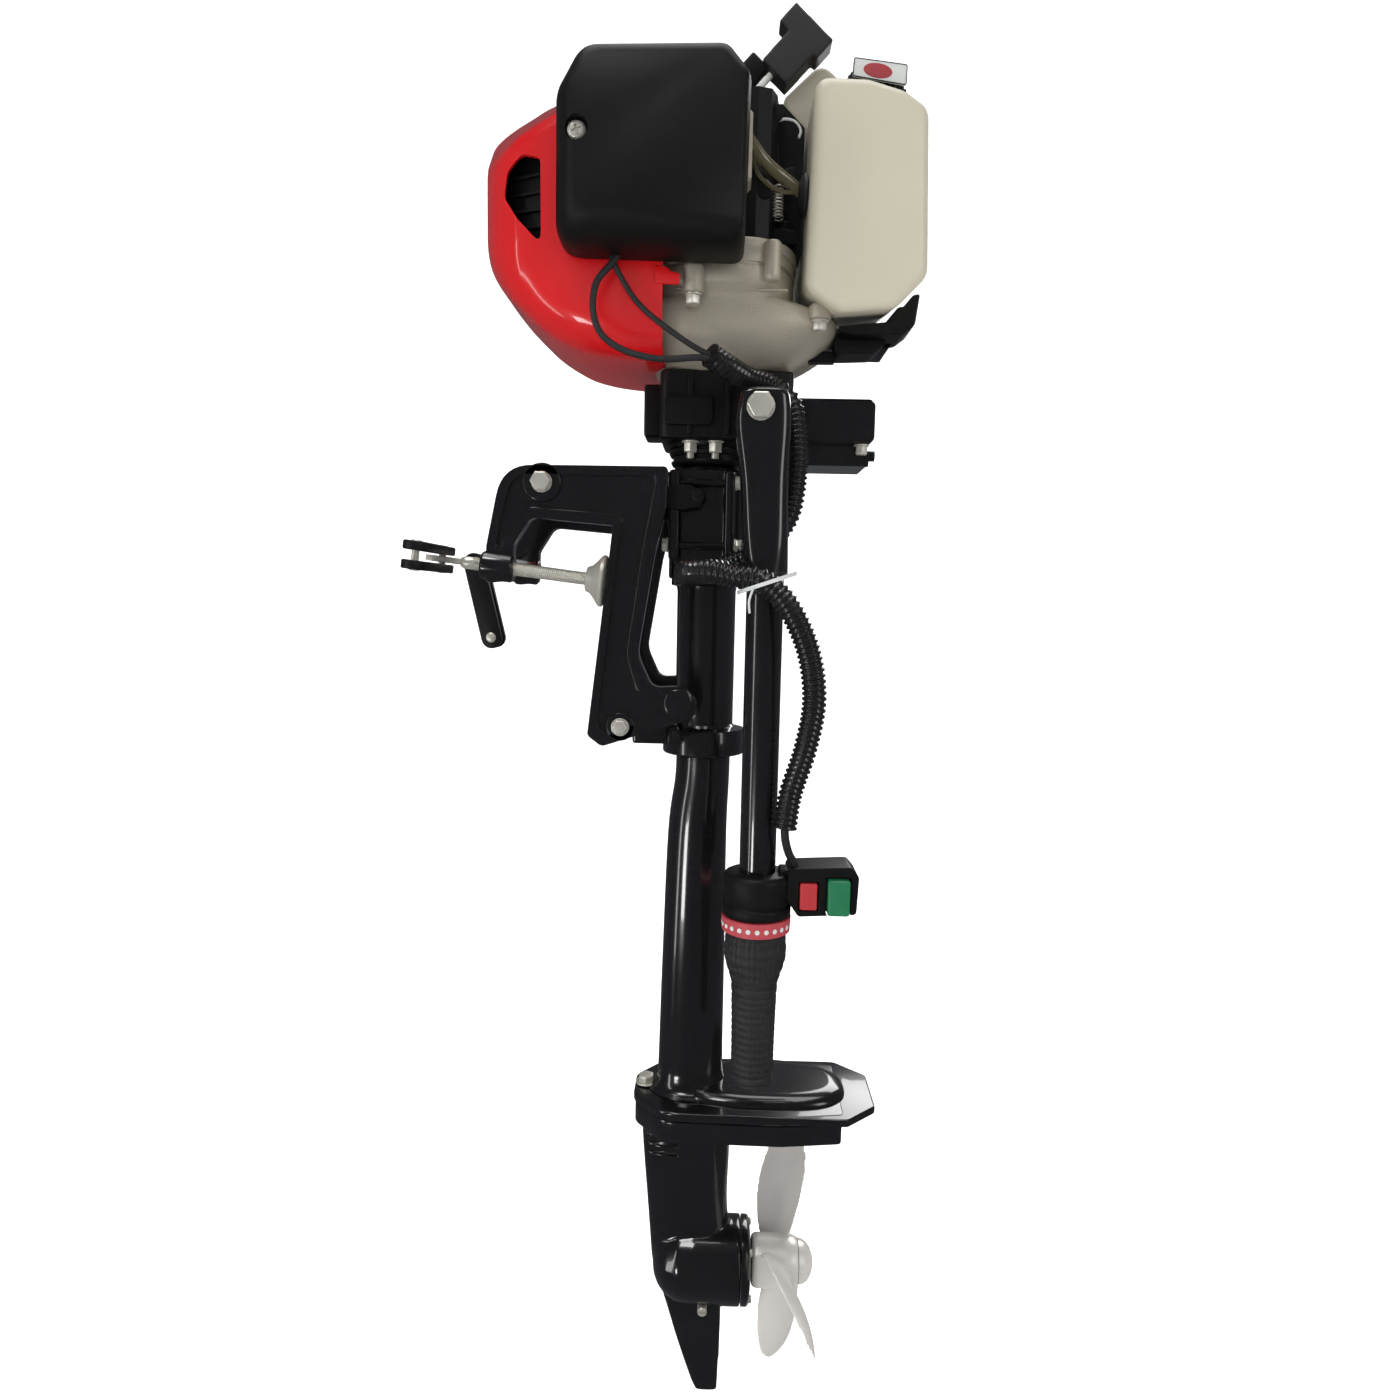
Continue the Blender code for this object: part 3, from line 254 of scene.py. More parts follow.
MOULDED = dict(mottle=0.06, grain=0.08, grain_size=0.5)

# Colour, roughness, and what differs from solid_finish's defaults.
FINISH_ROWS = {
    "gloss_black": ((0.0035, 0.0035, 0.004), 0.19,
        dict(mottle=0.25, grain=0.0, grain_size=3.0, rough_spread=0.04, coat=0.6)),
    "satin_black": ((0.0042, 0.0042, 0.0045), 0.40,
        dict(mottle=0.25, grain=0.12, grain_size=0.9, specular=0.28)),
    "black_plastic": ((0.0045, 0.0045, 0.0045), 0.44,
        dict(mottle=0.12, grain=0.10, grain_size=0.5, specular=0.18)),
    "red_cover": ((0.38, 0.0045, 0.006), 0.24,
        dict(mottle=0.05, grain=0.004, grain_size=3.0, rough_spread=0.03, coat=0.5, specular=0.3)),
    "tank_white": ((0.345, 0.322, 0.250), 0.38,
        dict(mottle=0.035, mottle_size=60, grain=0.06, grain_size=1.6)),
    "cast_aluminium": ((0.46, 0.42, 0.34), 0.48,
        dict(metallic=0.7, mottle=0.10, grain=0.35, grain_size=0.9, speck=0.35)),
    "propeller_alloy": ((0.66, 0.635, 0.60), 0.38,
        dict(metallic=0.42, mottle=0.06, grain=0.22, grain_size=1.1, speck=0.15)),
    "zinc_steel": ((0.62, 0.60, 0.53), 0.34,
        dict(metallic=0.75, mottle=0.12, mottle_size=8, grain=0.10, grain_size=0.5)),
    "rubber_black": ((0.012, 0.012, 0.013), 0.55, dict(mottle=0.18, grain=0.30, grain_size=0.5)),
    "button_red": ((0.30, 0.013, 0.018), 0.34, MOULDED),
    "button_green": ((0.006, 0.115, 0.045), 0.34, MOULDED),
    "rope_grey": ((0.50, 0.50, 0.48), 0.80,
        dict(mottle=0.25, mottle_size=2.0, grain=0.8, grain_size=0.7)),
    "conduit_black": ((0.006, 0.006, 0.0065), 0.26,
        dict(mottle=0.15, grain=0.05, grain_size=0.6, coat=0.4)),
    "clear_hose": ((0.060, 0.052, 0.026), 0.16,
        dict(mottle=0.30, mottle_size=6, grain=0.03, grain_size=2.0, coat=0.7)),
    "tag_red": ((0.24, 0.018, 0.024), 0.5, dict(mottle=0.10, grain=0.08, grain_size=0.5)),
    "throttle_ring": ((0.30, 0.030, 0.040), 0.38, MOULDED),
    "pale_plastic": ((0.40, 0.41, 0.40), 0.42, dict(mottle=0.05, grain=0.08, grain_size=0.6)),
}

FINISHES = {name: solid_finish(name, *row[:2], **row[2]) for name, row in FINISH_ROWS.items()}


def finish_nodes():
    """Every solid kept from the frame gets its slot's finish and smooth shading between sharp edges."""
    for row in frame["record"]["subparts"]:
        obj = frame["nodes"][row["node"]]
        slot = row["material_slot"]
        obj.data.materials.clear()
        obj.data.materials.append(FINISHES[slot])
        obj.data.shade_smooth()
        obj.data.set_sharp_from_angle(angle=radians(38))


# ---------------------------------------------------------------- shapes


def loft(rings, closed=False):
    """A closed mesh through rings of equal length, capped at both ends or joined up."""
    bm = bmesh.new()
    rows = [[bm.verts.new(point) for point in ring] for ring in rings]
    count = len(rows[0])
    pairs = list(zip(rows, rows[1:]))
    if closed:
        pairs.append((rows[-1], rows[0]))
    for lower, upper in pairs:
        for i in range(count):
            j = (i + 1) % count
            bm.faces.new((lower[i], lower[j], upper[j], upper[i]))
    if not closed:
        bm.faces.new(list(reversed(rows[0])))
        bm.faces.new(rows[-1])
    bmesh.ops.recalc_face_normals(bm, faces=bm.faces)
    return bm


def outwards(turn):
    return Vector((cos(turn), sin(turn), 0))


def square_to(axis):
    axis = Vector(axis).normalized()
    side = UP if abs(axis.z) < 0.9 else AFT
    first = axis.cross(side).normalized()
    return first, axis.cross(first)


def turned(start, axis, profile, sides=64):
    """A turned solid: profile is (distance along axis, radius) pairs."""
    start, axis = Vector(start), Vector(axis).normalized()
    first, second = square_to(axis)
    rings = []
    for distance, radius in profile:
        ring = []
        for turn in turns(sides):
            arm = first * cos(turn) + second * sin(turn)
            ring.append(start + axis * distance + arm * radius)
        rings.append(ring)
    return loft(rings)


def rod(start, end, radius, sides=48):
    start, end = Vector(start), Vector(end)
    return turned(start, end - start, [(0, radius), ((end - start).length, radius)], sides)


def block(low, high):
    low, high = Vector(low), Vector(high)
    bm = bmesh.new()
    bmesh.ops.create_cube(bm, size=1.0)
    for vert in bm.verts:
        part = (vert.co.x + 0.5, vert.co.y + 0.5, vert.co.z + 0.5)
        vert.co = Vector([low[k] + (high[k] - low[k]) * part[k] for k in range(3)])
    return bm


def rounded(corners, steps=8):
    """An outline from (a, b, radius) corners, each with its corner turned into an arc."""
    points = []
    count = len(corners)
    for i, (a, b, radius) in enumerate(corners):
        here = Vector((a, b))
        back = Vector(corners[i - 1][:2]) - here
        ahead = Vector(corners[(i + 1) % count][:2]) - here
        if radius <= 0:
            points.append(here)
            continue
        half = back.angle(ahead) / 2
        reach = min(radius / tan(half), 0.48 * back.length, 0.48 * ahead.length)
        start = here + back.normalized() * reach
        end = here + ahead.normalized() * reach
        for k in range(steps + 1):
            t = k / steps
            points.append(start * (1 - t) ** 2 + here * 2 * t * (1 - t) + end * t**2)
    return points


def inset(outline, distance):
    """The outline moved inwards by distance, corner by corner."""
    area = sum(p.x * q.y - q.x * p.y for p, q in zip(outline, outline[1:] + outline[:1]))
    sign = 1 if area > 0 else -1
    moved = []
    for i, here in enumerate(outline):
        before, after = outline[i - 1], outline[(i + 1) % len(outline)]
        a = (here - before).normalized()
        b = (after - here).normalized()
        normal = Vector((-(a.y + b.y), a.x + b.x)) * sign
        if normal.length < 1e-6:
            continue
        normal.normalize()
        lean = max(0.4, normal.dot(Vector((-a.y, a.x)) * sign))
        moved.append(here + normal * distance / lean)
    return moved


PLANES = {"X": (1, 2, 0), "Y": (0, 2, 1), "Z": (0, 1, 2)}


def layer(outline, axis, level):
    """The outline as a ring of points at one level of axis."""
    places = PLANES[axis]
    ring = []
    for a, b in outline:
        point = [0, 0, 0]
        point[places[0]], point[places[1]], point[places[2]] = a, b, level
        ring.append(Vector(point))
    return ring


def slab(outline, axis, low, high):
    return loft([layer(outline, axis, low), layer(outline, axis, high)])


def plate(corners, axis, low, high, steps=8):
    """A flat plate whose outline has rounded corners."""
    return slab(rounded(corners, steps), axis, low, high)


def oval(centre, half_x, half_y, power=2.0, count=64):
    """A superellipse ring about centre, in the XY plane."""
    ring = []
    for turn in turns(count):
        c, s = cos(turn), sin(turn)
        x = copysign(abs(c) ** (2 / power), c) * half_x
        y = copysign(abs(s) ** (2 / power), s) * half_y
        ring.append(Vector(centre) + Vector((x, y, 0)))
    return ring


def hexagon(start, axis, across_flats, height):
    """A bolt head: a hexagon with its corners turned down at the top."""
    corner = across_flats / sqrt(3)
    return turned(start, axis, [(0, corner), (height - 0.7, corner), (height, corner * 0.86)], 6)


def bar(centre, along, thin, half_length, half_width, half_thickness):
    """A rectangular bar about centre, with its own directions."""
    across = Vector(along).cross(Vector(thin))
    ring = []
    for a, b in ((-1, -1), (1, -1), (1, 1), (-1, 1)):
        ring.append(Vector(thin) * a * half_thickness + across * b * half_width)
    start = Vector(centre) - Vector(along) * half_length
    end = Vector(centre) + Vector(along) * half_length
    return loft([[start + p for p in ring], [end + p for p in ring]])


def smooth_through(points, pieces):
    """Rows of numbers on a smooth curve through the given rows, each span cut into pieces."""
    rows = [list(p) for p in points]
    ends = [[2 * a - b for a, b in zip(rows[0], rows[1])]] + rows
    ends.append([2 * a - b for a, b in zip(rows[-1], rows[-2])])
    found = []
    for i in range(1, len(ends) - 2):
        for k in range(pieces):
            t = k / pieces
            row = []
            for p, q, r, s in zip(*ends[i - 1 : i + 3]):
                cubic = (3 * q - p - 3 * r + s) * t**3
                square = (2 * p - 5 * q + 4 * r - s) * t**2
                row.append(0.5 * (2 * q + (r - p) * t + square + cubic))
            found.append(row)
    found.append(rows[-1])
    return found


def even_route(points, spacing):
    """Points on a smooth curve through the route's own points, evenly spaced."""
    dense = [Vector(p) for p in smooth_through(points, 40)]
    route, left = [dense[0]], spacing
    for before, after in zip(dense, dense[1:]):
        length = (after - before).length
        while length >= left:
            before = before + (after - before) * (left / length)
            route.append(before)
            length = (after - before).length
            left = spacing
        left -= length
    if (route[-1] - dense[-1]).length > spacing * 0.3:
        route.append(dense[-1])
    return route


def tube(points, radius_at, spacing, sides=20):
    """A tube along a smooth route: radius_at gives its radius from the ring's number."""
    route = even_route(points, spacing)
    ahead = (route[1] - route[0]).normalized()
    first, _ = square_to(ahead)
    rings = []
    for i, place in enumerate(route):
        if 0 < i < len(route) - 1:
            ahead = (route[i + 1] - route[i - 1]).normalized()
        first = (first - ahead * first.dot(ahead)).normalized()
        second = ahead.cross(first)
        radius = radius_at(i)
        ring = []
        for turn in turns(sides):
            ring.append(place + (first * cos(turn) + second * sin(turn)) * radius)
        rings.append(ring)
    return loft(rings)


def threaded(start, axis, length, radius, pitch, sides=24):
    """A rod with a helical thread."""
    start, axis = Vector(start), Vector(axis).normalized()
    first, second = square_to(axis)
    steps = round(length / pitch * 5)
    rings = []
    for row in range(steps + 1):
        distance = length * row / steps
        ring = []
        for i in range(sides):
            part = (distance / pitch + i / sides) % 1.0
            depth = abs(part - 0.5) * 2
            turn = 2 * pi * i / sides
            arm = first * cos(turn) + second * sin(turn)
            ring.append(start + axis * distance + arm * (radius - 0.5 * pitch * depth))
        rings.append(ring)
    return loft(rings)


# ---------------------------------------------------------------- making pieces


def merge(shapes):
    """One mesh that holds every shape."""
    whole = bmesh.new()
    for shape in shapes:
        held = bpy.data.meshes.new("held")
        shape.to_mesh(held)
        shape.free()
        whole.from_mesh(held)
        bpy.data.meshes.remove(held)
    return whole


def place(name, bm):
    for vert in bm.verts:
        vert.co = vert.co * MM
    mesh = bpy.data.meshes.new(name)
    bm.to_mesh(mesh)
    bm.free()
    obj = bpy.data.objects.new(name, mesh)
    bpy.context.scene.collection.objects.link(obj)
    return obj


def settle(obj):
    """Applies the piece's modifiers and drops the shapes that they used."""
    graph = bpy.context.evaluated_depsgraph_get()
    done = bpy.data.meshes.new_from_object(obj.evaluated_get(graph))
    used = [m.object for m in obj.modifiers if m.type == "BOOLEAN"]
    obj.modifiers.clear()
    obj.data = done
    for other in used:
        bpy.data.objects.remove(other, do_unlink=True)


EDGE_ANGLE = 32


def round_edges(obj, width, segments, angle):
    """Rounds the edges where faces meet at more than angle degrees."""
    edges = obj.modifiers.new("edges", "BEVEL")
    edges.width = width * MM
    edges.segments = segments
    edges.limit_method = "ANGLE"
    edges.angle_limit = radians(angle)


def piece(name, body, finish, shapes, cut=(), replaces=(), bevel=0.0, rounds=3, voxel=0.0,
    smooth=0, angle=35):
    """A shown piece: its shapes merged, or fused as a casting when voxel is given, then cut.
    """
    obj = place(name, merge(shapes))
    obj.data.materials.append(FINISHES[finish])
    if voxel:
        fuse = obj.modifiers.new("fuse", "REMESH")
        fuse.mode = "VOXEL"
        fuse.voxel_size = voxel * MM
        ease = obj.modifiers.new("ease", "SMOOTH")
        ease.factor = 0.5
        ease.iterations = smooth
    for i, shape in enumerate(cut):
        step = obj.modifiers.new(f"cut{i}", "BOOLEAN")
        step.operation = "DIFFERENCE"
        step.object = place(f"{name}_cut{i}", shape)
        step.solver = "EXACT"
    if bevel:
        round_edges(obj, bevel, rounds, EDGE_ANGLE)
    settle(obj)
    obj.data.shade_smooth()
    if not voxel:
        obj.data.set_sharp_from_angle(angle=radians(angle))
    if body:
        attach(obj, body)
    if replaces:
        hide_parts(*replaces)
    return obj


# ---------------------------------------------------------------- transom clamp

LEAN = radians(6.5)
SCREW_WAY = Vector((-cos(LEAN), 0, sin(LEAN)))
CLAMP_UP = Vector((sin(LEAN), 0, cos(LEAN)))
SIDES = ((-1, "port"), (1, "starboard"))
PLATE_IN, PLATE_OUT = 38.0, 48.0
PLATE_MIDDLE = 43.0
TILT_X, TILT_Z = -42, 27.5
THRUST_X, THRUST_Z = 9, -126
PLATE_CORNERS = [(-67, 38, 24), (37, 38.5, 3), (36, 12, 8), (29.5, -15, 20), (19.4, -79, 20),
    (29, -100, 8), (50, -99, 8), (60, -111, 8), (52, -121, 8), (30, -128, 5), (-3, -139, 5),
    (-12.4, -132, 4), (2.8, 1.5, 2), (-49, 5.5, 8), (-60, -12, 8), (-60.5, -34, 3), (-78.5, -36, 4),
    (-77, -12, 8)]


WEB_CORNERS = [(-61, 32, 16), (30, 32.5, 3), (22, -12, 18), (12.5, -80, 18), (20, -104, 8), (44, -107, 4),
    (30, -119, 4), (2, -131, 3), (-6, -125, 3), (9, 8, 4), (-51, 12, 8), (-66, -8, 8), (-69, -16, 4),
    (-71, -12, 4)]


def screw_point(side, distance):
    """A point on a clamp screw's axis, a distance out from the jaw face."""
    return Vector((-1.0, side * PLATE_MIDDLE, -33.5)) + SCREW_WAY * distance


def hex_bolt(start, axis, across, height, washer):
    """A bolt head on its washer."""
    axis = Vector(axis).normalized()
    seat = turned(start, axis, [(0, washer), (0.8, washer), (1.1, washer - 0.4)], 40)
    return [seat, hexagon(Vector(start) + axis * 1.1, axis, across, height - 1.1)]


def make_plate(side, word):
    outline = rounded(PLATE_CORNERS)
    low, high = sorted((side * PLATE_IN, side * PLATE_OUT))
    outer = side * PLATE_OUT
    web_low, web_high = sorted((outer - side * 2.2, outer + side * 4))
    web = slab(rounded(WEB_CORNERS), "Y", web_low, web_high)
    bosses = [turned((TILT_X, side * PLATE_MIDDLE, TILT_Z), (0, side, 0), [(0, 12), (5, 12)], 48),
        turned((THRUST_X, side * PLATE_MIDDLE, THRUST_Z), (0, side, 0), [(0, 9), (5, 9)], 48),
        turned((46, side * PLATE_MIDDLE, -110), (0, side, 0), [(0, 9.5), (6.5, 9.5), (7.4, 8.6)], 48)]
    collar = turned(screw_point(side, 60), SCREW_WAY, [(0, 8.2), (1, 9), (19, 9), (20.5, 8.0)], 48)
    piece(f"plate_{word}", "clamp", "gloss_black", [slab(outline, "Y", low, high)], cut=[web],
        replaces=[f"clamp_plate_{word}"], bevel=1.6, rounds=4)
    piece(f"plate_bosses_{word}", "clamp", "gloss_black", bosses + [collar], bevel=0.6)


def make_clamp():
    for side, word in SIDES:
        make_plate(side, word)
        make_screw(side, word)
        make_lever(side, word)
    bolt = hex_bolt((TILT_X, -48.2, TILT_Z), PORT, 11.5, 6.4, 6.6)
    bolt.append(rod((TILT_X, -48, TILT_Z), (TILT_X, 57.6, TILT_Z), 5.6))
    piece("tilt_bolt", "clamp", "zinc_steel", bolt, replaces=["tilt_pivot_bolt"], bevel=0.3)
    piece("tilt_nut", "clamp", "zinc_steel", hex_bolt((TILT_X, 48.2, TILT_Z), STARBOARD, 14, 8, 8.8),
        replaces=["tilt_pivot_nut"], bevel=0.3)
    shapes = [rod((THRUST_X, -49, THRUST_Z), (THRUST_X, 49, THRUST_Z), 3.5)]
    shapes += hex_bolt((THRUST_X, -48.2, THRUST_Z), PORT, 9, 3.3, 5.8)
    shapes += hex_bolt((THRUST_X, 48.2, THRUST_Z), STARBOARD, 10, 3.3, 6.4)
    piece("thrust_bar", "clamp", "zinc_steel", shapes, replaces=["thrust_rod"], bevel=0.2)


def make_screw(side, word):
    hinge = CLAMP_UP if side < 0 else STARBOARD
    piece(f"screw_{word}", f"screw_{word}", "zinc_steel",
        [threaded(screw_point(side, 9), SCREW_WAY, 76, 4.35, 1.25),
            turned(screw_point(side, 84), SCREW_WAY, [(0, 3.3), (2, 4.0), (7, 4.0), (9.5, 3.0)], 32),
            bar(screw_point(side, 104), SCREW_WAY, hinge, 11.5, 4.3, 1.95)],
        replaces=[f"clamp_screw_{word}"], bevel=0.15, rounds=2)
    pad = [(0, 15.6), (0.6, 16.4), (2.4, 16.4), (3.4, 15.4), (6, 12.0), (9, 8.8), (11.4, 8.0), (12, 7.2)]
    piece(f"pad_{word}", f"pad_{word}", "zinc_steel", [turned(screw_point(side, 1.2), SCREW_WAY, pad)],
        replaces=[f"clamp_pad_{word}"])


def lever_frame(side):
    """The way a lever points at rest, and its hinge axis."""
    if side < 0:
        return PORT, CLAMP_UP
    return Vector((0.23, 0, -0.973)).normalized(), STARBOARD


def lever_leg(centre, along, hinge, offset):
    """One flat leg of a lever, with round ends."""
    across = along.cross(hinge)
    ring = []
    for middle, way in ((-0.6, pi), (54.6, 0.0)):
        for k in range(13):
            turn = way - pi / 2 + pi * k / 12
            reach = along * (middle + 7.4 * cos(turn))
            ring.append(centre + reach + across * (7.4 * sin(turn)))
    low = [p + hinge * (offset - 2.7) for p in ring]
    high = [p + hinge * (offset + 2.7) for p in ring]
    return loft([low, high])


def make_lever(side, word):
    along, hinge = lever_frame(side)
    eye = screw_point(side, 106)
    legs = [lever_leg(eye, along, hinge, offset) for offset in (-5.6, 5.6)]
    piece(f"lever_{word}", f"lever_{word}", "satin_black", legs, replaces=[f"clamp_lever_{word}"],
        bevel=1.0, rounds=3)
    rivets = []
    for distance, reach in ((0, 8.8), (54, 9.0)):
        centre = eye + along * distance
        rivets.append(turned(centre - hinge * reach, hinge,
            [(0, 2.2), (0.5, 3.4), (1, 3.8), (1.1, 2.2), (2 * reach - 1.1, 2.2), (2 * reach - 1, 3.8),
                (2 * reach - 0.5, 3.4), (2 * reach, 2.2)],
            32))
    piece(f"lever_rivets_{word}", f"lever_{word}", "zinc_steel", rivets)


# ---------------------------------------------------------------- leg and gearcase

COLUMN_X = 62.0
PROP_Z = -524.0


def plate_outline():
    return rounded(
        [(18, -14, 14), (40, -40, 30), (120, -42, 20), (164, -36, 5), (164, 36, 5), (120, 42, 20),
            (40, 40, 30), (18, 14, 14)],
        10)


def wing_outline():
    return rounded([(96, -41, 4), (160, -41.5, 5), (166, -41, 5), (187, -22, 5), (187, 22, 5), (166, 41, 5),
        (160, 41.5, 5), (96, 41, 4)])


def make_leg():
    sections = [(-150.5, 62.0, 18.5, 17.5), (-168, 61.5, 18.8, 17), (-205, 59, 20.4, 16.5),
        (-300, 58, 22, 16), (-366, 57.5, 22.8, 16), (-381, 57.6, 23.6, 17.2), (-387, 58, 26, 20),
        (-390, 58.4, 31, 25)]
    rings = [oval((x, 0, z), a, b, 2.0, 72) for z, x, a, b in smooth_through(sections, 6)]
    piece("leg_tube", "motor", "gloss_black", [loft(rings)], replaces=["drive_leg"])
    inner = rod((COLUMN_X, 0, 94), (COLUMN_X, 0, -152), 15.4, 64)
    piece("leg_column", "motor", "gloss_black", [inner])
    pod_rings = []
    for k in range(13):
        t = k / 12
        rise = -391 + 7.4 * sin(t * pi / 2)
        pull = (1 - cos(t * pi / 2)) * 12
        pod_rings.append(oval((109, 0, rise), 59 - pull, 31 - pull, 2.7, 72))
    piece("plate_pod", "motor", "gloss_black", [loft(pod_rings)])
    piece("plate_upper", "motor", "gloss_black", [slab(plate_outline(), "Z", -396.9, -390.6)], bevel=1.6,
        rounds=4)
    piece("plate_wing", "motor", "gloss_black", [slab(wing_outline(), "Z", -396.5, -390.9)], bevel=1.4,
        rounds=4)


def make_gearcase():
    strut_rows = [(-411, 55, 32, 14.5), (-440, 56, 31, 13), (-480, 57.5, 29, 13), (-522, 62, 30, 14)]
    strut = [oval((x, 0, z), a, b, 2.3, 64) for z, x, a, b in smooth_through(strut_rows, 6)]
    nose = [(0, 5), (1.2, 11), (4, 17), (9, 23), (18, 28), (30, 29.8), (63.8, 29.8)]
    skeg_rows = [(-534, 35, 84, 6), (-560, 43, 84, 5), (-590, 52, 83.5, 4), (-618, 61.5, 82.8, 3),
        (-628.5, 66, 82.3, 2.4)]
    skeg = []
    for z, lead, trail, half in smooth_through(skeg_rows, 4):
        middle, reach = (lead + trail) / 2, (trail - lead) / 2
        skeg.append(oval((middle, 0, z), reach, half, 2.4, 40))
    piece("gear_body", "motor", "gloss_black",
        [loft(strut), turned((33, 0, PROP_Z), AFT, nose, 72), loft(skeg)],
        cut=[block((20, -30, z), (50, -7.5, z + 2.8)) for z in (-424, -431, -438)], replaces=["gearcase"],
        voxel=1.3, smooth=8)
    piece("plate_lower", "motor", "gloss_black", [slab(inset(plate_outline(), 1.2), "Z", -412.8, -397.6)],
        bevel=1.8, rounds=4)
    bolts = []
    for k in range(4):
        turn = radians(45 + 90 * k)
        spot = (103, 25 * cos(turn), PROP_Z + 25 * sin(turn))
        bolts.append(turned(spot, AFT, [(0, 2.6), (1.6, 2.6), (2.0, 2.2)], 24))
    cap = [(0, 29.6), (3.6, 29.6), (5.0, 28.8), (6, 26.8), (6.6, 20), (6.9, 8)]
    piece("gear_cap", "motor", "gloss_black", [turned((97.3, 0, PROP_Z), AFT, cap, 72)],
        replaces=["bearing_cap"])
    piece("gear_cap_screws", "motor", "zinc_steel", bolts)
    piece("plate_bolt", "motor", "zinc_steel", hex_bolt((26, 0, -389.6), UP, 10, 6, 7.4),
        replaces=["gearcase_bolt"], bevel=0.3)
    piece("drain_plug", "motor", "zinc_steel",
        [turned((70, -17.4, -548), PORT, [(0, 3.4), (6.4, 3.4), (7.2, 2.8)], 32)],
        cut=[block((66, -30, -548.5), (74, -23.6, -547.5))], replaces=["drain_screw"], angle=25)


# ---------------------------------------------------------------- propeller

BLADE_ROWS = ((12, 26, 3.4, 42, 122.5), (26, 42, 2.7, 38, 123.5), (44, 58, 2.2, 33, 126),
    (62, 64, 1.8, 30, 129), (78, 54, 1.4, 28, 131.5), (87, 36, 1.1, 27, 133), (91.4, 14, 0.7, 27, 133.6))


def blade_ring(radius, chord, thickness, pitch, centre_x, around):
    pitch = radians(pitch)
    outward = Vector((0, -sin(around), cos(around)))
    tangent = Vector((0, cos(around), sin(around)))
    along = Vector((sin(pitch), 0, 0)) - tangent * cos(pitch)
    face = Vector((cos(pitch), 0, 0)) + tangent * sin(pitch)
    ring = []
    for turn in turns(28):
        a = cos(turn)
        lift = sin(turn) * thickness * (0.8 - 0.25 * a)
        camber = 0.10 * chord * (1 - a * a)
        centre = Vector((centre_x, 0, PROP_Z)) + outward * radius
        ring.append(centre + along * a * chord / 2 + face * (lift + camber))
    return ring


def make_propeller():
    blades = []
    for i in range(3):
        around = radians(80 + 120 * i)
        blades.append(loft([blade_ring(*row, around) for row in smooth_through(BLADE_ROWS, 5)]))
    hub = [(0.2, 15.4), (1.4, 17.2), (4, 18), (24, 18), (30, 17.2), (34, 15.6)]
    piece("propeller_blades", "prop", "propeller_alloy",
        blades + [turned((104.6, 0, PROP_Z), AFT, hub, 64)], replaces=["propeller"], voxel=0.9, smooth=5)
    nut = [(0, 15), (3, 14.6), (6.5, 12.6), (9, 9), (10.6, 4.6), (11, 2)]
    piece("propeller_cone", "prop", "propeller_alloy", [turned((138.9, 0, PROP_Z), AFT, nut, 64)],
        replaces=["propeller_nut"])


# ---------------------------------------------------------------- steering head and swivel


def make_head():
    upper = plate([(30, -34, 7), (96, -34, 8), (115, -31, 4), (115, 31, 4), (96, 34, 8), (30, 34, 7)],
        "Z", 58, 101.2)
    strip = block((18.6, -14, 62), (31, 14, 95.8))
    piece("head_body", "motor", "satin_black", [upper, strip], replaces=["head_casting"], bevel=2.2,
        rounds=4)
    collar = [(0, 23.4), (0.8, 24.6), (2.6, 25.6), (3.4, 25.6), (3.8, 24.2), (6.4, 24.2), (6.8, 26),
        (9, 27), (9.4, 25.6), (11, 25.6), (11.6, 28), (15, 29.4), (22, 29.6)]
    piece("head_collar", "motor", "satin_black", [turned((COLUMN_X, 0, 43.8), UP, collar, 72)])
    ear = turned((92.5, -52.2, 71), STARBOARD, [(0, 8), (0.8, 8.9), (22, 8.9)], 48)
    ribs = [block((x, -36.6, 60), (x + 3, -33, 98)) for x in (48, 72, 90)]
    piece("head_ear", "motor", "satin_black", [ear] + ribs, bevel=0.8)
    cover = plate([(33, 66, 3), (64, 66, 3), (64, 84, 3), (33, 84, 3)], "Y", -37.4, -34.2)
    piece("cover_plate", "motor", "satin_black", [cover], replaces=["head_cover"], bevel=0.9)
    nuts = []
    for x in (50, 66):
        nuts += hex_bolt((x, -26, 57.6), DOWN, 8, 7.4, 5.6)
        nuts.append(rod((x, -26, 50.2), (x, -26, 46.6), 2.4, 24))
    for x in (120, 160):
        nuts += hex_bolt((x, -24, 57.4), DOWN, 7, 6.4, 4.8)
    piece("head_nuts", "motor", "zinc_steel", nuts, bevel=0.2)


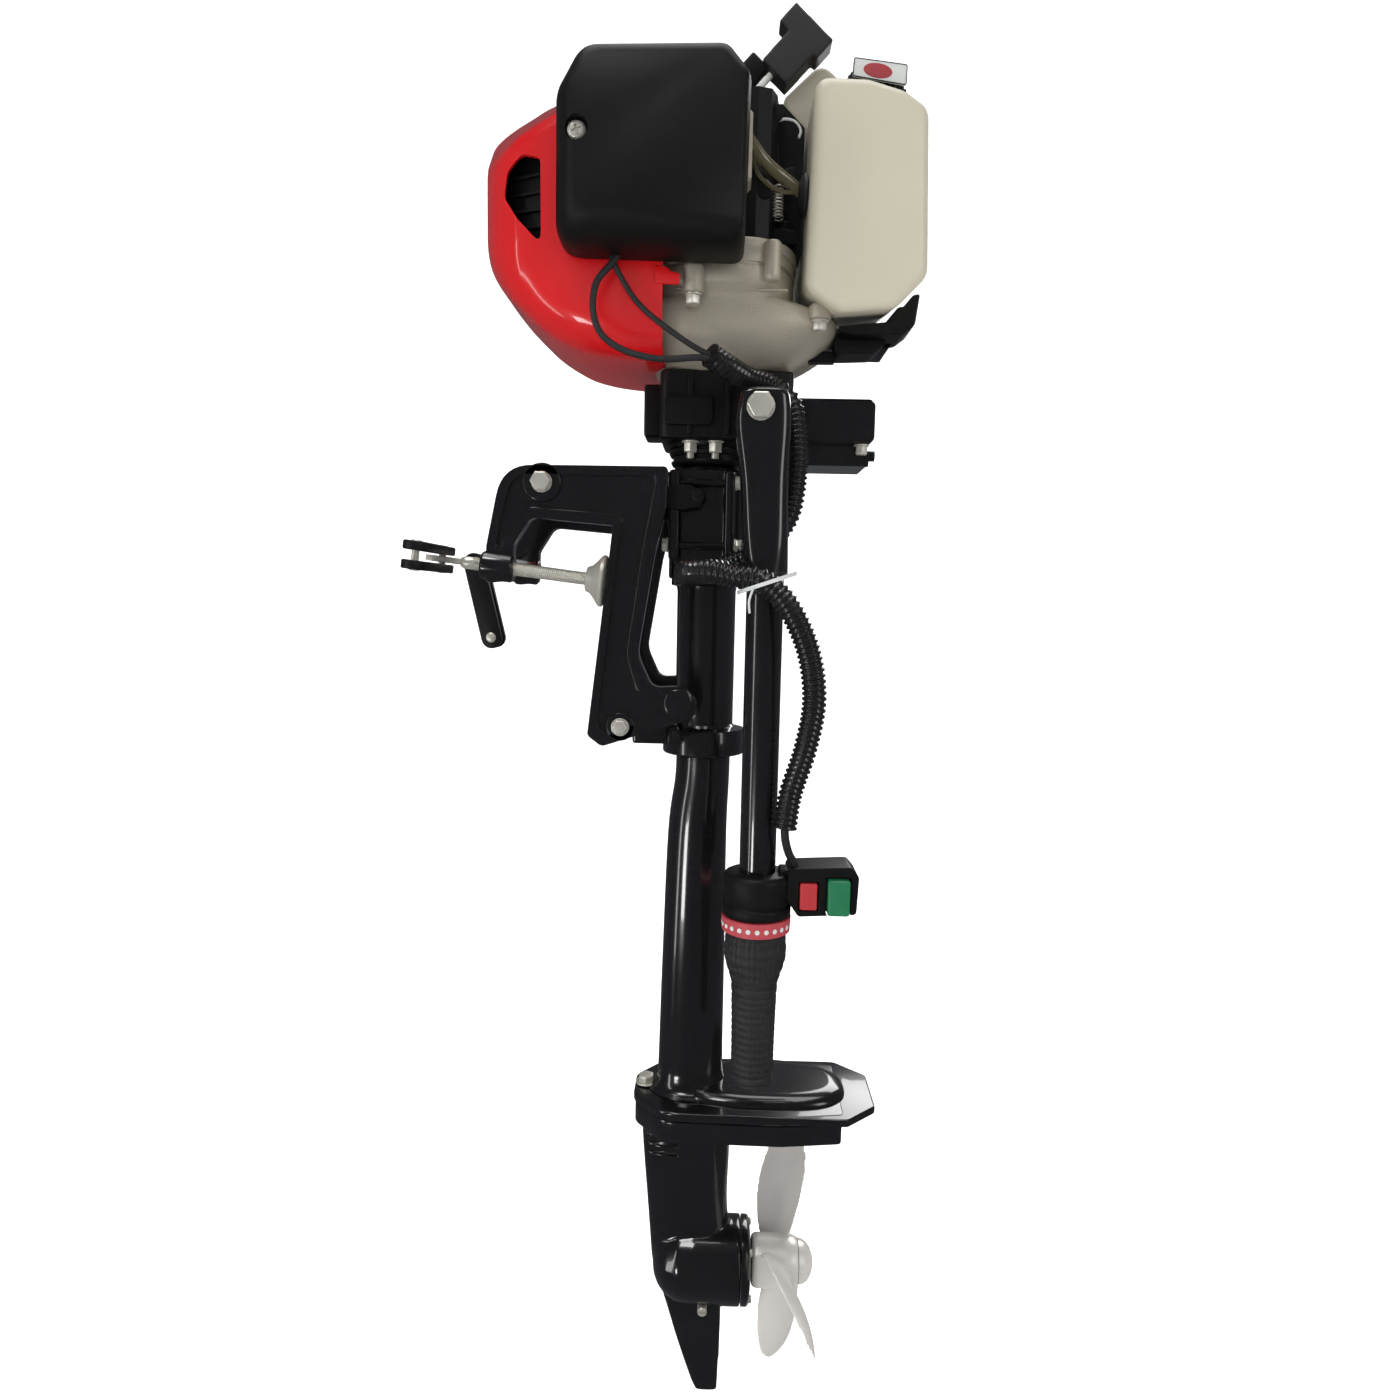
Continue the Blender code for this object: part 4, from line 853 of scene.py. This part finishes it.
def make_swivel():
    block_plan = rounded([(37, -26.5, 6), (86, -26.5, 12), (86, 26.5, 12), (37, 26.5, 6)])
    arm = rounded([(-54, 38, 11), (40, 38, 0), (40, 6, 0), (5, 8, 8), (-30, 16, 6), (-54, 16, 11)])
    lugs = []
    for low, high in ((37, 44), (73, 79)):
        lugs.append(block((low, -34, -18), (high, -24, 38)))
    piece("swivel_body", "swivel", "gloss_black",
        [slab(block_plan, "Z", -30, 40), slab(arm, "Y", -33, 33)] + lugs,
        cut=[block((-31, -23, 0), (28, 23, 33.2)), block((27, -40, 24), (37.2, -24.6, 45)),
            rod((COLUMN_X, 0, 60), (COLUMN_X, 0, -60), 19.9, 64)],
        replaces=["swivel_bracket"], voxel=0.9, smooth=4)
    sleeve = [(0, 24), (4, 24), (5, 20.4), (8, 19.9), (98, 19.8), (99.5, 21), (101, 27.4), (102, 28),
        (117, 28), (118, 27.2)]
    piece("swivel_sleeve", "swivel", "gloss_black", [turned((COLUMN_X, 0, -30), DOWN, sleeve, 72)])
    piece("sleeve_lug", "swivel", "gloss_black", [block((13.6, -12, -142), (38, 12, -118))], bevel=2,
        rounds=4)
    for word, top, low, outer in (("upper", 43, 10.3, 19.5), ("lower", -134.4, -150, 18.0)):
        high = max(top, low)
        piece(f"bush_{word}", "swivel", "black_plastic",
            [
                turned((COLUMN_X, 0, high), DOWN, [(0, outer - 1), (0.8, outer), (abs(top - low), outer)],
                    64)],
            replaces=[f"{word}_bush"])
    for word, z in (("upper", 31), ("lower", -9)):
        head = hex_bolt((36.7, -29.5, z), FORE, 8, 3.8, 4.8)
        nut = hex_bolt((79.3, -29.5, z), AFT, 8, 4.6, 4.8)
        piece(f"pinch_{word}", "swivel", "zinc_steel", head + nut, replaces=[f"pinch_bolt_{word}"],
            bevel=0.2, rounds=2)
        shank = turned((34, -29.5, z), AFT,
            [(0, 2.3), (22, 2.3), (22.4, 2.7), (24, 2.7), (24.4, 2.3), (54, 2.3)], 32)
        piece(f"pinch_shank_{word}", "swivel", "gloss_black", [shank])
    paddle = rounded([(20, 27, 4), (50, 29, 4), (60, 24, 5), (58, 15, 5), (46, 13, 6), (24, 15, 6)])
    piece("friction_paddle", "friction", "satin_black",
        [slab(paddle, "Y", -37.3, -34.5),
            turned((56, -38.4, 22), STARBOARD, [(0, 3.4), (0.8, 4.6), (4, 4.6)], 32)],
        replaces=["friction_lever"], bevel=0.9)


# ---------------------------------------------------------------- engine

# X, half width, lowest, lower corner, shoulder height, half width of the ridge, highest.
SHROUD_FRONT = ((-84.5, 10, 184, 5, 224, 4, 230), (-82.6, 19, 173, 12, 223, 6, 237),
    (-79.5, 30, 162, 18, 220, 9, 243), (-73, 43, 151, 23, 219, 11, 248), (-64, 54, 140, 26, 221, 13, 253),
    (-56, 60, 132, 28, 225, 14, 257))
SHROUD_REAR = ((-56, 60, 132, 28, 225, 14, 257), (-42, 63.5, 120, 29, 232, 16, 264),
    (-24, 66, 110, 29, 241, 24, 266), (-10, 67, 106, 28, 247, 34, 262),
    (4, 67.6, 104, 27, 250, 48, 257.4), (19, 68.1, 103, 26, 252, 54, 256.3),
    (33, 68.3, 103, 24, 252, 56, 256.2))


def shroud_ring(row, wall):
    x, half, low, belly, shoulder, ridge, high = row
    corners = [(-half, low, belly), (half, low, belly), (half, shoulder, 16), (ridge, high, 12),
        (-ridge, high, 12), (-half, shoulder, 16)]
    outline = rounded(corners, 9)
    return layer(inset(outline, wall) if wall else outline, "X", x)


def make_shroud():
    rows = smooth_through(SHROUD_FRONT, 5)[:-1] + smooth_through(SHROUD_REAR, 5)
    outer = [shroud_ring(row, 0) for row in rows]
    inner = [shroud_ring(row, 2.6) for row in rows if row[0] > -78]
    vent = rounded(
        [(-61.5, 208, 7), (-51.5, 216, 6), (-40.5, 213, 4), (-40, 164, 3), (-55, 180, 9), (-64, 194, 9)])
    piece("shroud", "motor", "red_cover", [loft(outer + inner[::-1])], cut=[slab(vent, "Y", -90, -30)],
        replaces=["engine_shroud"], angle=24)
    normal = Vector((-0.40, -0.92, 0.0)).normalized()
    across = Vector((0.92, -0.40, 0.0)).normalized()
    middle = Vector((-50, -49, 190))
    slats = [bar(middle + Vector((0, 0, step)), across, normal, 12, 0.9, 2.2)
        for step in (-12, -2, 8, 18)]
    backing = bar(middle - normal * 2, UP, normal, 30, 14, 1.2)
    piece("shroud_grille", "motor", "black_plastic", slats + [backing], bevel=0.4)
    tab = plate(
        [(28, 141, 2), (43.2, 141, 2), (43.6, 147, 2), (37.5, 148.6, 2), (35, 151, 2), (28, 152, 2)], "Y",
        -69.3, -66.6)
    piece("shroud_tab", "motor", "red_cover", [tab], bevel=0.8)
    barrel = rod((27.6, 0, 217), (-58, 0, 217), 26, 64)
    fin = rounded([(-31, 192, 8), (31, 192, 8), (31, 240, 8), (-31, 240, 8)], 6)
    fins = [slab(fin, "X", x, x + 2.4) for x in range(-52, 2, 6)]
    piece("finned_barrel", "motor", "cast_aluminium", [barrel] + fins, replaces=["cylinder"], bevel=0.4)


COVER_SCREW_X, COVER_SCREW_Z = -13.5, 211


def make_filter():
    """The cover's skirt turns in broadly forward and below, and tightly above and aft."""
    rings = []
    for k in range(-1, 17):
        part = max(0.0, k / 16)
        broad = 1 - sqrt(1 - 0.99 * part**2)
        tight = 1 - sqrt(1 - 0.99 * max(0.0, (part - 0.6) / 0.4) ** 2)
        corners = [(-28 + 17 * broad, 155 + 19 * broad, 15), (80.5 - 3 * tight, 152.5 + 8 * broad, 8),
            (82 - 5 * tight, 243 - 3 * tight, 9), (69 - 4 * tight, 258.5 - 8 * tight, 9),
            (-13 + 5 * broad, 257 - 8 * tight, 15), (-28 + 14 * broad, 235 - 4 * tight, 12)]
        level = -68.9 if k < 0 else -78 - 28 * part
        rings.append(layer(rounded(corners), "Y", level))
    piece("filter_cover", "motor", "black_plastic", [loft(rings)],
        cut=[
            turned((COVER_SCREW_X, -112, COVER_SCREW_Z), STARBOARD, [(0, 8.4), (6, 6.6), (11, 6.2)], 48)],
        replaces=["air_filter_cover"], angle=60)
    head = turned((COVER_SCREW_X, -103.2, COVER_SCREW_Z), STARBOARD,
        [(0, 3.4), (0.7, 4.6), (1.4, 5.2), (3, 5.2)], 48)
    cross = [bar((COVER_SCREW_X, -103, COVER_SCREW_Z), Vector(way).normalized(), STARBOARD, 2.9, 0.6, 0.9)
        for way in ((1, 0, 0.35), (-0.35, 0, 1))]
    piece("filter_screw", "motor", "zinc_steel", [head], cut=cross, replaces=["cover_screw"])


HOUSING_X = 68
HOUSING_ROWS = ((100.2, 34, 35, 2.4), (102, 40, 38, 2.4), (106, 49, 43, 2.6), (112, 60, 48.4, 2.8),
    (119, 69.5, 52.4, 3), (125, 75, 54, 3), (129.5, 76.9, 54, 3), (133, 75, 53.8, 3), (136, 70, 53.8, 3),
    (139, 58, 54, 3), (141, 49.5, 54.6, 3), (144, 47, 57, 3), (147, 46, 59.6, 3))


def housing_ring(z, half_x, half_y, power):
    return oval((HOUSING_X, 0, z), half_x, half_y, power, 96)


def make_housing():
    rings = [housing_ring(*row) for row in smooth_through(HOUSING_ROWS, 3)]
    for z, step in ((156, 0), (156.6, -1.2), (158, -1.2), (158.6, 0.6), (165, 0.4), (165.6, 1.4),
        (171.2, 1.4), (171.9, 0.6)):
        rings.append(housing_ring(z, 46 + step, 59.4 + step * 0.6, 3))
    piece("housing", "motor", "cast_aluminium", [loft(rings)], replaces=["fan_housing"], angle=50)
    bosses = [turned((50.8, -59.4, 138.5), UP, [(0, 5), (2, 6.2), (15.5, 6.2), (16.5, 5.4)], 40),
        turned((128.5, -44.5, 128.4), UP, [(0, 6.4), (1, 7), (8, 7), (9.4, 6)], 40),
        turned((98, -57.6, 147), UP, [(0, 3.6), (2, 5), (22, 5), (23, 4)], 40),
        block((40, -55.6, 142.2), (108, -52, 143.4))]
    piece("housing_bosses", "motor", "cast_aluminium", bosses, bevel=0.7)
    for word, x, y, z in (("front", 50.8, -59.8, 138.3), ("rear", 128.5, -45.2, 128.2)):
        piece(f"case_bolt_{word}", "motor", "zinc_steel", hex_bolt((x, y, z), DOWN, 8, 6.6, 5.4),
            replaces=[f"housing_bolt_{word}"], bevel=0.2)


def make_top():
    recoil = [(0, 46.4), (1, 47), (3, 47), (6, 45.6), (9, 42), (13, 37), (17, 30), (21, 25), (23.2, 21),
        (23.6, 8)]
    start = Vector((48, 0, 262.4))
    ribs = []
    for turn in turns(12):
        out = outwards(turn)
        ribs.append(bar(start + out * 36 + Vector((0, 0, 11.6)), (out + Vector((0, 0, -0.8))).normalized(),
            Vector((-out.y, out.x, 0)), 8, 1.2, 1.6))
    way = Vector((0.68, 0, 0.733)).normalized()
    guide = bar((83, 13, 298), way, STARBOARD, 11, 7.8, 6.8)
    piece("recoil_cover", "motor", "black_plastic", [turned(start, UP, recoil, 72)] + ribs,
        replaces=["recoil_housing"])
    stem = bar((84.5, 13, 284), UP, STARBOARD, 13, 5, 5)
    piece("rope_guide", "motor", "black_plastic", [guide, stem], bevel=1.6, rounds=4)
    side = Vector((way.z, 0, -way.x))
    foot = Vector((97, -4, 292))
    shapes = [bar(foot + way * 13 + side * 2.4, way, STARBOARD, 14.5, 10.6, 7.8),
        bar(foot + way * 30, side, STARBOARD, 16.4, 7.6, 7.8)]
    piece("pull_handle", "starter", "rubber_black", shapes, replaces=["starter_handle"], voxel=0.9,
        smooth=7)
    rope = tube([foot - way * 20, foot, foot + way * 20], lambda i: 2.1 + 0.12 * (i % 2), 1.0, 16)
    return piece("pull_rope", None, "rope_grey", [rope], replaces=["starter_rope"])


def make_muffler():
    outline = rounded([(-20, 160, 12), (74, 160, 12), (74, 246, 12), (-20, 246, 12)])
    louvres = [block((-6, 104, z), (60, 107.6, z + 3)) for z in (180, 190, 200, 210, 220)]
    piece("silencer", "motor", "satin_black", [slab(outline, "Y", 76, 106)], replaces=["muffler"],
        bevel=6, rounds=5)
    piece("silencer_louvres", "motor", "satin_black", louvres + [block((36, 50, 190), (58, 78, 216))],
        bevel=1.2)


TANK_CORNERS = ((119.5, 261, 10, 0), (151, 260, 13, 0), (172, 254, 13, 0), (187, 244, 12, 0),
    (190.5, 150, 13, 0.7), (172, 130.5, 13, 1), (137, 127.5, 13, 1), (117.6, 141, 12, 0.8))
TANK_HALF_WIDTH = 65.8
TANK_FLOOR_SLOPE = 0.17
CAP_X, CAP_Y = 160, -22


def tank_ring(y):
    """The tank's outline at one depth: its floor is higher towards the far side."""
    rise = TANK_FLOOR_SLOPE * (y + TANK_HALF_WIDTH)
    corners = [(x, z + rise * share, radius) for x, z, radius, share in TANK_CORNERS]
    return layer(rounded(corners, 6), "Y", y)


def make_tank():
    ends = [tank_ring(-TANK_HALF_WIDTH), tank_ring(TANK_HALF_WIDTH)]
    piece("tank_body", "motor", "tank_white", [loft(ends)], replaces=["fuel_tank"], bevel=8, rounds=7)
    corners = [(102.5, 281, 8), (129.5, 306, 10), (143.5, 294, 9), (158, 258, 6), (158, 240, 0),
        (121, 240, 4), (120.5, 262, 5)]
    lobe = rounded(corners)
    piece("tank_lobe", "motor", "tank_white", [slab(lobe, "Y", 8, 50)], bevel=5, rounds=5)
    neck = [(0, 17), (3, 17), (4, 14.4), (12, 14)]
    piece("tank_neck", "motor", "tank_white", [turned((CAP_X, CAP_Y, 252), UP, neck, 64)])
    seal = [(0, 6), (5.2, 6), (5.6, 11.4), (6.2, 12), (7.6, 12), (9, 10.4), (10.8, 6.4), (11, 4)]
    piece("hose_grommet", "motor", "rubber_black", [turned((123.6, -46, 201), FORE, seal, 48)],
        replaces=["fuel_grommet"])
    rings = []
    for z, radius, flute in ((258, 18.8, 0), (258.7, 19.8, 0), (261, 20.2, 0), (261.6, 19.4, 0.8),
        (270, 19.2, 0.8), (271, 17.6, 0), (273, 17.4, 0), (273.6, 17.2, 0.7), (280, 16.8, 0.7),
        (281.2, 15.6, 0), (281.6, 12, 0)):
        ring = []
        for turn in turns(120):
            reach = radius + flute * cos(turn * 30)
            ring.append(Vector((CAP_X + reach * cos(turn), CAP_Y + reach * sin(turn), z)))
        rings.append(ring)
    piece("cap_body", "cap", "black_plastic", [loft(rings)], replaces=["fuel_cap"], angle=40)
    tag = rounded([(143.4, 270.5, 1.5), (176, 265.5, 1.5), (176.2, 277.4, 1.5), (144, 281.2, 1.5)], 4)
    piece("cap_tag", "cap", "pale_plastic",
        [slab(tag, "Y", -43.6, -42.4), block((150, -43, 270), (170, -38, 276))],
        bevel=0.3)
    edge = inset(tag, 0.5)
    frame_rings = [layer(tag, "Y", -43.7), layer(edge, "Y", -43.9), layer(edge, "Y", -43.5),
        layer(tag, "Y", -43.5)]
    piece("cap_tag_edge", "cap", "black_plastic", [loft(frame_rings, closed=True)])
    mark = []
    for turn in turns(32):
        mark.append(Vector((158.5 + 8.6 * cos(turn), 273.6 + 4.2 * sin(turn) - cos(turn))))
    piece("cap_mark", "cap", "tag_red", [slab(mark, "Y", -44, -43.5)], bevel=0.1)


def make_foot():
    corners = [(141, 124, 3), (148, 122, 4), (180, 122, 6), (188, 128, 5), (190.5, 147, 3), (186, 146, 0),
        (173, 130, 0), (141, 127, 0)]
    base = rounded(corners)
    lump = rounded([(140, 113, 4), (165, 114, 5), (173, 121, 4), (173, 126, 0), (141, 126, 3)])
    shapes = [slab(base, "Y", -39.8, -8), slab(lump, "Y", -26, -2),
        block((124, -18, 110.5), (142, -8, 117)), slab([(p.x, p.y + 8) for p in base], "Y", 12, 39.8),
        block((146, -20, 122), (178, 30, 131))]
    piece("foot", "motor", "satin_black", shapes, replaces=["engine_foot"], bevel=2.2, rounds=4)


# ---------------------------------------------------------------- tiller

TILLER_Y = -66.0
TUBE_X = 98.5


def knurl(turn, distance, count, pitch):
    """Raised diamonds round a grip."""
    one = cos(turn * count + 2 * pi * distance / pitch)
    two = cos(turn * count - 2 * pi * distance / pitch)
    return min(1.0, max(0.0, 0.55 + 0.9 * one * two))


GRIP_PROFILE = ((0.0, 16.0), (1.0, 18.0), (3.2, 18.8), (9, 19.4), (16, 19.8), (22, 19.0), (28, 17.2),
    (33, 15.6), (35, 15.0), (36, 14.9), (36.6, 13.8), (38.0, 13.8), (38.6, 14.8), (42, 14.6),
    (42.6, 13.6), (44.0, 13.6), (44.6, 14.4), (60, 13.9), (80, 13.6), (94, 13.6), (95, 13.4),
    (95.6, 12.6), (96.6, 12.6), (97.2, 13.7), (100, 13.7), (100.6, 12.8), (101.4, 12.8), (102, 13.5),
    (103.2, 12.6), (104, 10.6))


def grip_radius(distance):
    for (before, first), (after, second) in zip(GRIP_PROFILE, GRIP_PROFILE[1:]):
        if distance <= after:
            return first + (second - first) * (distance - before) / (after - before)
    return GRIP_PROFILE[-1][1]


def make_grip():
    rings = []
    steps = 208
    for row in range(steps + 1):
        distance = GRIP_PROFILE[-1][0] * row / steps
        ring = []
        for turn in turns(144):
            radius = grip_radius(distance)
            if 3.5 < distance < 34:
                radius += 0.85 * knurl(turn, distance, 17, 13.0) - 0.7
            elif 46 < distance < 94:
                radius += 0.55 * knurl(turn, distance, 18, 9.0) - 0.4
            ring.append(
                Vector((TUBE_X + radius * cos(turn), TILLER_Y + radius * sin(turn), -248.4 - distance)))
        rings.append(ring)
    piece("grip", "grip", "rubber_black", [loft(rings)], replaces=["throttle_grip"], angle=60)


def make_tiller():
    rows = ((82.2, 95, 8, 6, 3), (81.8, 95, 11, 8.4, 3.2), (80, 94.9, 13.8, 10.4, 3.8),
        (75, 94.8, 15.6, 11, 4), (60, 94.5, 16.8, 11.8, 4), (30, 96, 14.6, 11.6, 3.4),
        (-5, 97.5, 14, 12.5, 3), (-25, 98.4, 13.6, 13.2, 2.2), (-29.4, 98.5, 13.5, 13.4, 2),
        (-30.2, 98.5, 12.4, 12.4, 2))
    arm = [oval((x, TILLER_Y, z), a, b, power, 72) for z, x, a, b, power in smooth_through(rows, 6)]
    piece("arm", "tiller", "gloss_black", [loft(arm)], replaces=["tiller_arm"], angle=50)
    piece("arm_tube", "tiller", "gloss_black",
        [rod((TUBE_X, TILLER_Y, -10), (TUBE_X, TILLER_Y, -321), 11.4, 64)], replaces=["tiller_tube"])
    piece("pivot_bolt", "motor", "zinc_steel",
        hex_bolt((92.5, -78.2, 70), PORT, 14.5, 6.6, 8.4) + [
            rod((92.5, -78.4, 71), (92.5, -40, 71), 4.8)],
        replaces=["tiller_pivot_bolt"], bevel=0.3)
    collar = [(0, 18.8), (0.6, 20), (2.6, 21.2), (4, 21.7), (17.8, 21.7), (18.6, 21.2), (19, 20.6),
        (20, 20.6), (20.4, 21.2), (21.2, 21.7), (26.2, 21.7), (27, 21.0)]
    box = plate(
        [(117, -208, 4), (156, -206, 4), (161, -212, 4), (160, -236, 3), (124, -238, 3), (117, -228, 4)],
        "Y", -78, -52)
    sockets = [block((123.8, -90, -234.2), (136.2, -69, -215.8)),
        block((140.8, -90, -237), (156.2, -69, -212.8))]
    piece("switch_box", "tiller", "black_plastic", [box], cut=sockets, replaces=["switch_housing"],
        bevel=1.6, rounds=4)
    piece("collar", "tiller", "black_plastic", [turned((TUBE_X, TILLER_Y, -213), DOWN, collar, 72)],
        angle=50)
    piece("switch_neck", "tiller", "black_plastic", [block((112, -74, -229), (121, -58, -210))],
        bevel=1.5)
    ring = [(0, 20.8), (0.5, 21.9), (9.6, 21.5), (10.2, 20.4)]
    piece("throttle_band", "tiller", "throttle_ring",
        [turned((TUBE_X, TILLER_Y, -240.3), DOWN, ring, 72)])
    dots = []
    for turn in turns(24):
        out = outwards(turn)
        dots.append(
            turned(Vector((TUBE_X, TILLER_Y, -245.6)) + out * 21.3, out, [(0, 1.5), (0.6, 1.5)], 16))
    piece("throttle_dots", "tiller", "pale_plastic", dots)
    piece("stop_key", "stop", "button_red", [block((124.6, -79.6, -233.4), (135.4, -71.6, -216.6))],
        replaces=["stop_button"], bevel=1.2, rounds=4)
    piece("start_key", "start", "button_green", [block((141.6, -82.4, -236.2), (155.4, -71.6, -213.6))],
        replaces=["start_button"], bevel=1.8, rounds=4)


# ---------------------------------------------------------------- hoses, cables and conduit

CONDUIT_UPPER = [(62, -75.5, 99), (72, -68, 94.5), (84, -54, 91), (98, -44.5, 89), (111, -43.5, 80),
    (116, -43.5, 62), (117, -43.5, 38), (112, -43.5, 8), (92, -43.5, -14), (66, -45, -24), (51, -54, -27),
    (52, -70, -27), (66, -82, -27), (84, -86.6, -30)]
CONDUIT_LOWER = [(84.6, -86.75, -30.1), (95.5, -89.5, -31.9), (111, -90, -46), (124, -86, -72),
    (129, -83, -102), (125, -80, -132), (117, -79, -160), (114, -79, -182)]
THROTTLE_CABLE = [(8, -74, 156), (3, -76, 149), (-5, -78, 138), (-6.6, -78.5, 122), (-1, -78.5, 108.5),
    (13, -78.5, 99.8), (33, -78, 95.8), (54, -77, 97.2), (66, -73, 97.2)]
STOP_WIRE = [(3, -74, 156), (7, -75, 146), (17, -75.5, 130.5), (28, -76, 120), (46, -76, 107.5),
    (58, -75, 101), (66, -73, 98)]
FUEL_HOSE = [(74, -62, 234), (82, -61, 226), (90.5, -58, 216.4), (100, -52, 211), (109, -48, 206),
    (115, -46, 202), (121.5, -46, 201)]
RETURN_HOSE = [(84, -50, 222), (88, -49, 212), (95, -48, 205.5), (104, -48, 202), (112, -47, 202.5),
    (118, -46, 203)]
WIRE_LOOP = [(96, -36, 226), (94.6, -36, 232), (93.6, -36, 238), (96.4, -36, 245), (102.5, -36, 249),
    (110, -36, 248), (114, -36, 243), (113, -36, 238.5)]
SWITCH_LEAD = [(114, -79, -178), (114.4, -78.4, -188), (117, -75, -198), (121, -71, -206),
    (122, -70, -210)]


def ribs_of(radius):
    """Every other pair of rings stands out, as on split conduit."""
    return lambda i: radius if i % 4 < 2 else radius - 1.25


def make_cords():
    upper = piece("conduit_bend", None, "conduit_black", [tube(CONDUIT_UPPER, ribs_of(7.4), 0.85, 24)],
        replaces=["conduit_upper"], angle=80)
    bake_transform(upper)
    piece("conduit_drop", "tiller", "conduit_black", [tube(CONDUIT_LOWER, ribs_of(7.4), 0.85, 24)],
        replaces=["conduit_lower"], angle=80)
    for name, node, points, radius in (("cable_throttle", "throttle_cable", THROTTLE_CABLE, 1.95),
        ("cable_stop", "stop_wire", STOP_WIRE, 1.7)):
        piece(name, "motor", "rubber_black", [tube(points, lambda i: radius, 1.5, 20)], replaces=[node])
    hoses = [tube(FUEL_HOSE, lambda i: 3.7, 1.5, 20), tube(RETURN_HOSE, lambda i: 1.5, 1.5, 16)]
    piece("hose_fuel", "motor", "clear_hose", hoses, replaces=["fuel_hose"])
    piece("wire_loop", "motor", "pale_plastic", [tube(WIRE_LOOP, lambda i: 0.8, 1.5, 12)])
    piece("switch_lead", "tiller", "rubber_black", [tube(SWITCH_LEAD, lambda i: 2.6, 1.5, 20)])
    tie = []
    for turn in turns(48):
        centre = Vector((99 + 17.2 * cos(turn), -76.5 + 22.5 * sin(turn), -33 + 6 * cos(turn)))
        out = outwards(turn)
        tie.append([centre + out * a + Vector((0, 0, b)) for a,
            b in ((-0.5, -1.15), (0.5, -1.15), (0.5, 1.15), (-0.5, 1.15))])
    # The tie's pale tail runs down the front of the conduit where the conduit shows a highlight: partly a
    # tie's tail, partly a painted highlight on the conduit.
    highlight_tail = tube([(90, -97, -37), (88, -96, -44), (88.5, -94, -51)], lambda i: 0.7, 2.0, 8)
    piece("cable_tie_and_highlight", "tiller", "pale_plastic", [loft(tie, closed=True), highlight_tail])


def make_linkage():
    """Bell cranks, rods and a bracket beside the carburettor."""
    shapes = [plate([(83, 246, 4), (100, 258, 5), (104, 250, 5), (88, 236, 4)], "Y", -40, -37),
        rod((88, -38, 250), (88, -38, 168), 1.6, 20), rod((98, -34, 246), (106, -34, 172), 1.4, 20),
        plate([(84, 178, 3), (114, 176, 3), (114, 184, 3), (84, 188, 3)], "Y", -36, -33),
        turned((106, -30, 176), UP, [(0, 4), (1, 5), (14, 5), (15, 3)], 32),
        turned((92, -48, 204), STARBOARD, [(0, 5), (1, 6), (12, 6)], 32),
        plate([(86, 198, 3), (112, 214, 3), (112, 224, 3), (86, 214, 3)], "Y", -33, -30)]
    piece("linkage", "motor", "satin_black", shapes, bevel=0.5)
    coils = []
    for k in range(121):
        turn = 2 * pi * k / 12
        coils.append((101 + 3.2 * cos(turn), -38 + 3.2 * sin(turn), 190 + 0.16 * k))
    piece("return_spring", "motor", "zinc_steel", [tube(coils, lambda i: 0.45, 0.9, 8)])


def soften_nodes():
    """The kept solids that still show get slightly rounded edges."""
    for name in ("carry_block", "carburettor", "crankcase"):
        round_edges(frame["nodes"][name], 0.8, 2, 40)


add_studio()
finish_nodes()
soften_nodes()
make_clamp()
make_swivel()
make_leg()
make_gearcase()
make_propeller()
make_head()
make_shroud()
make_filter()
make_linkage()
make_housing()
rope = make_top()
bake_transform(rope)
make_muffler()
make_tank()
make_foot()
make_tiller()
make_grip()
make_cords()
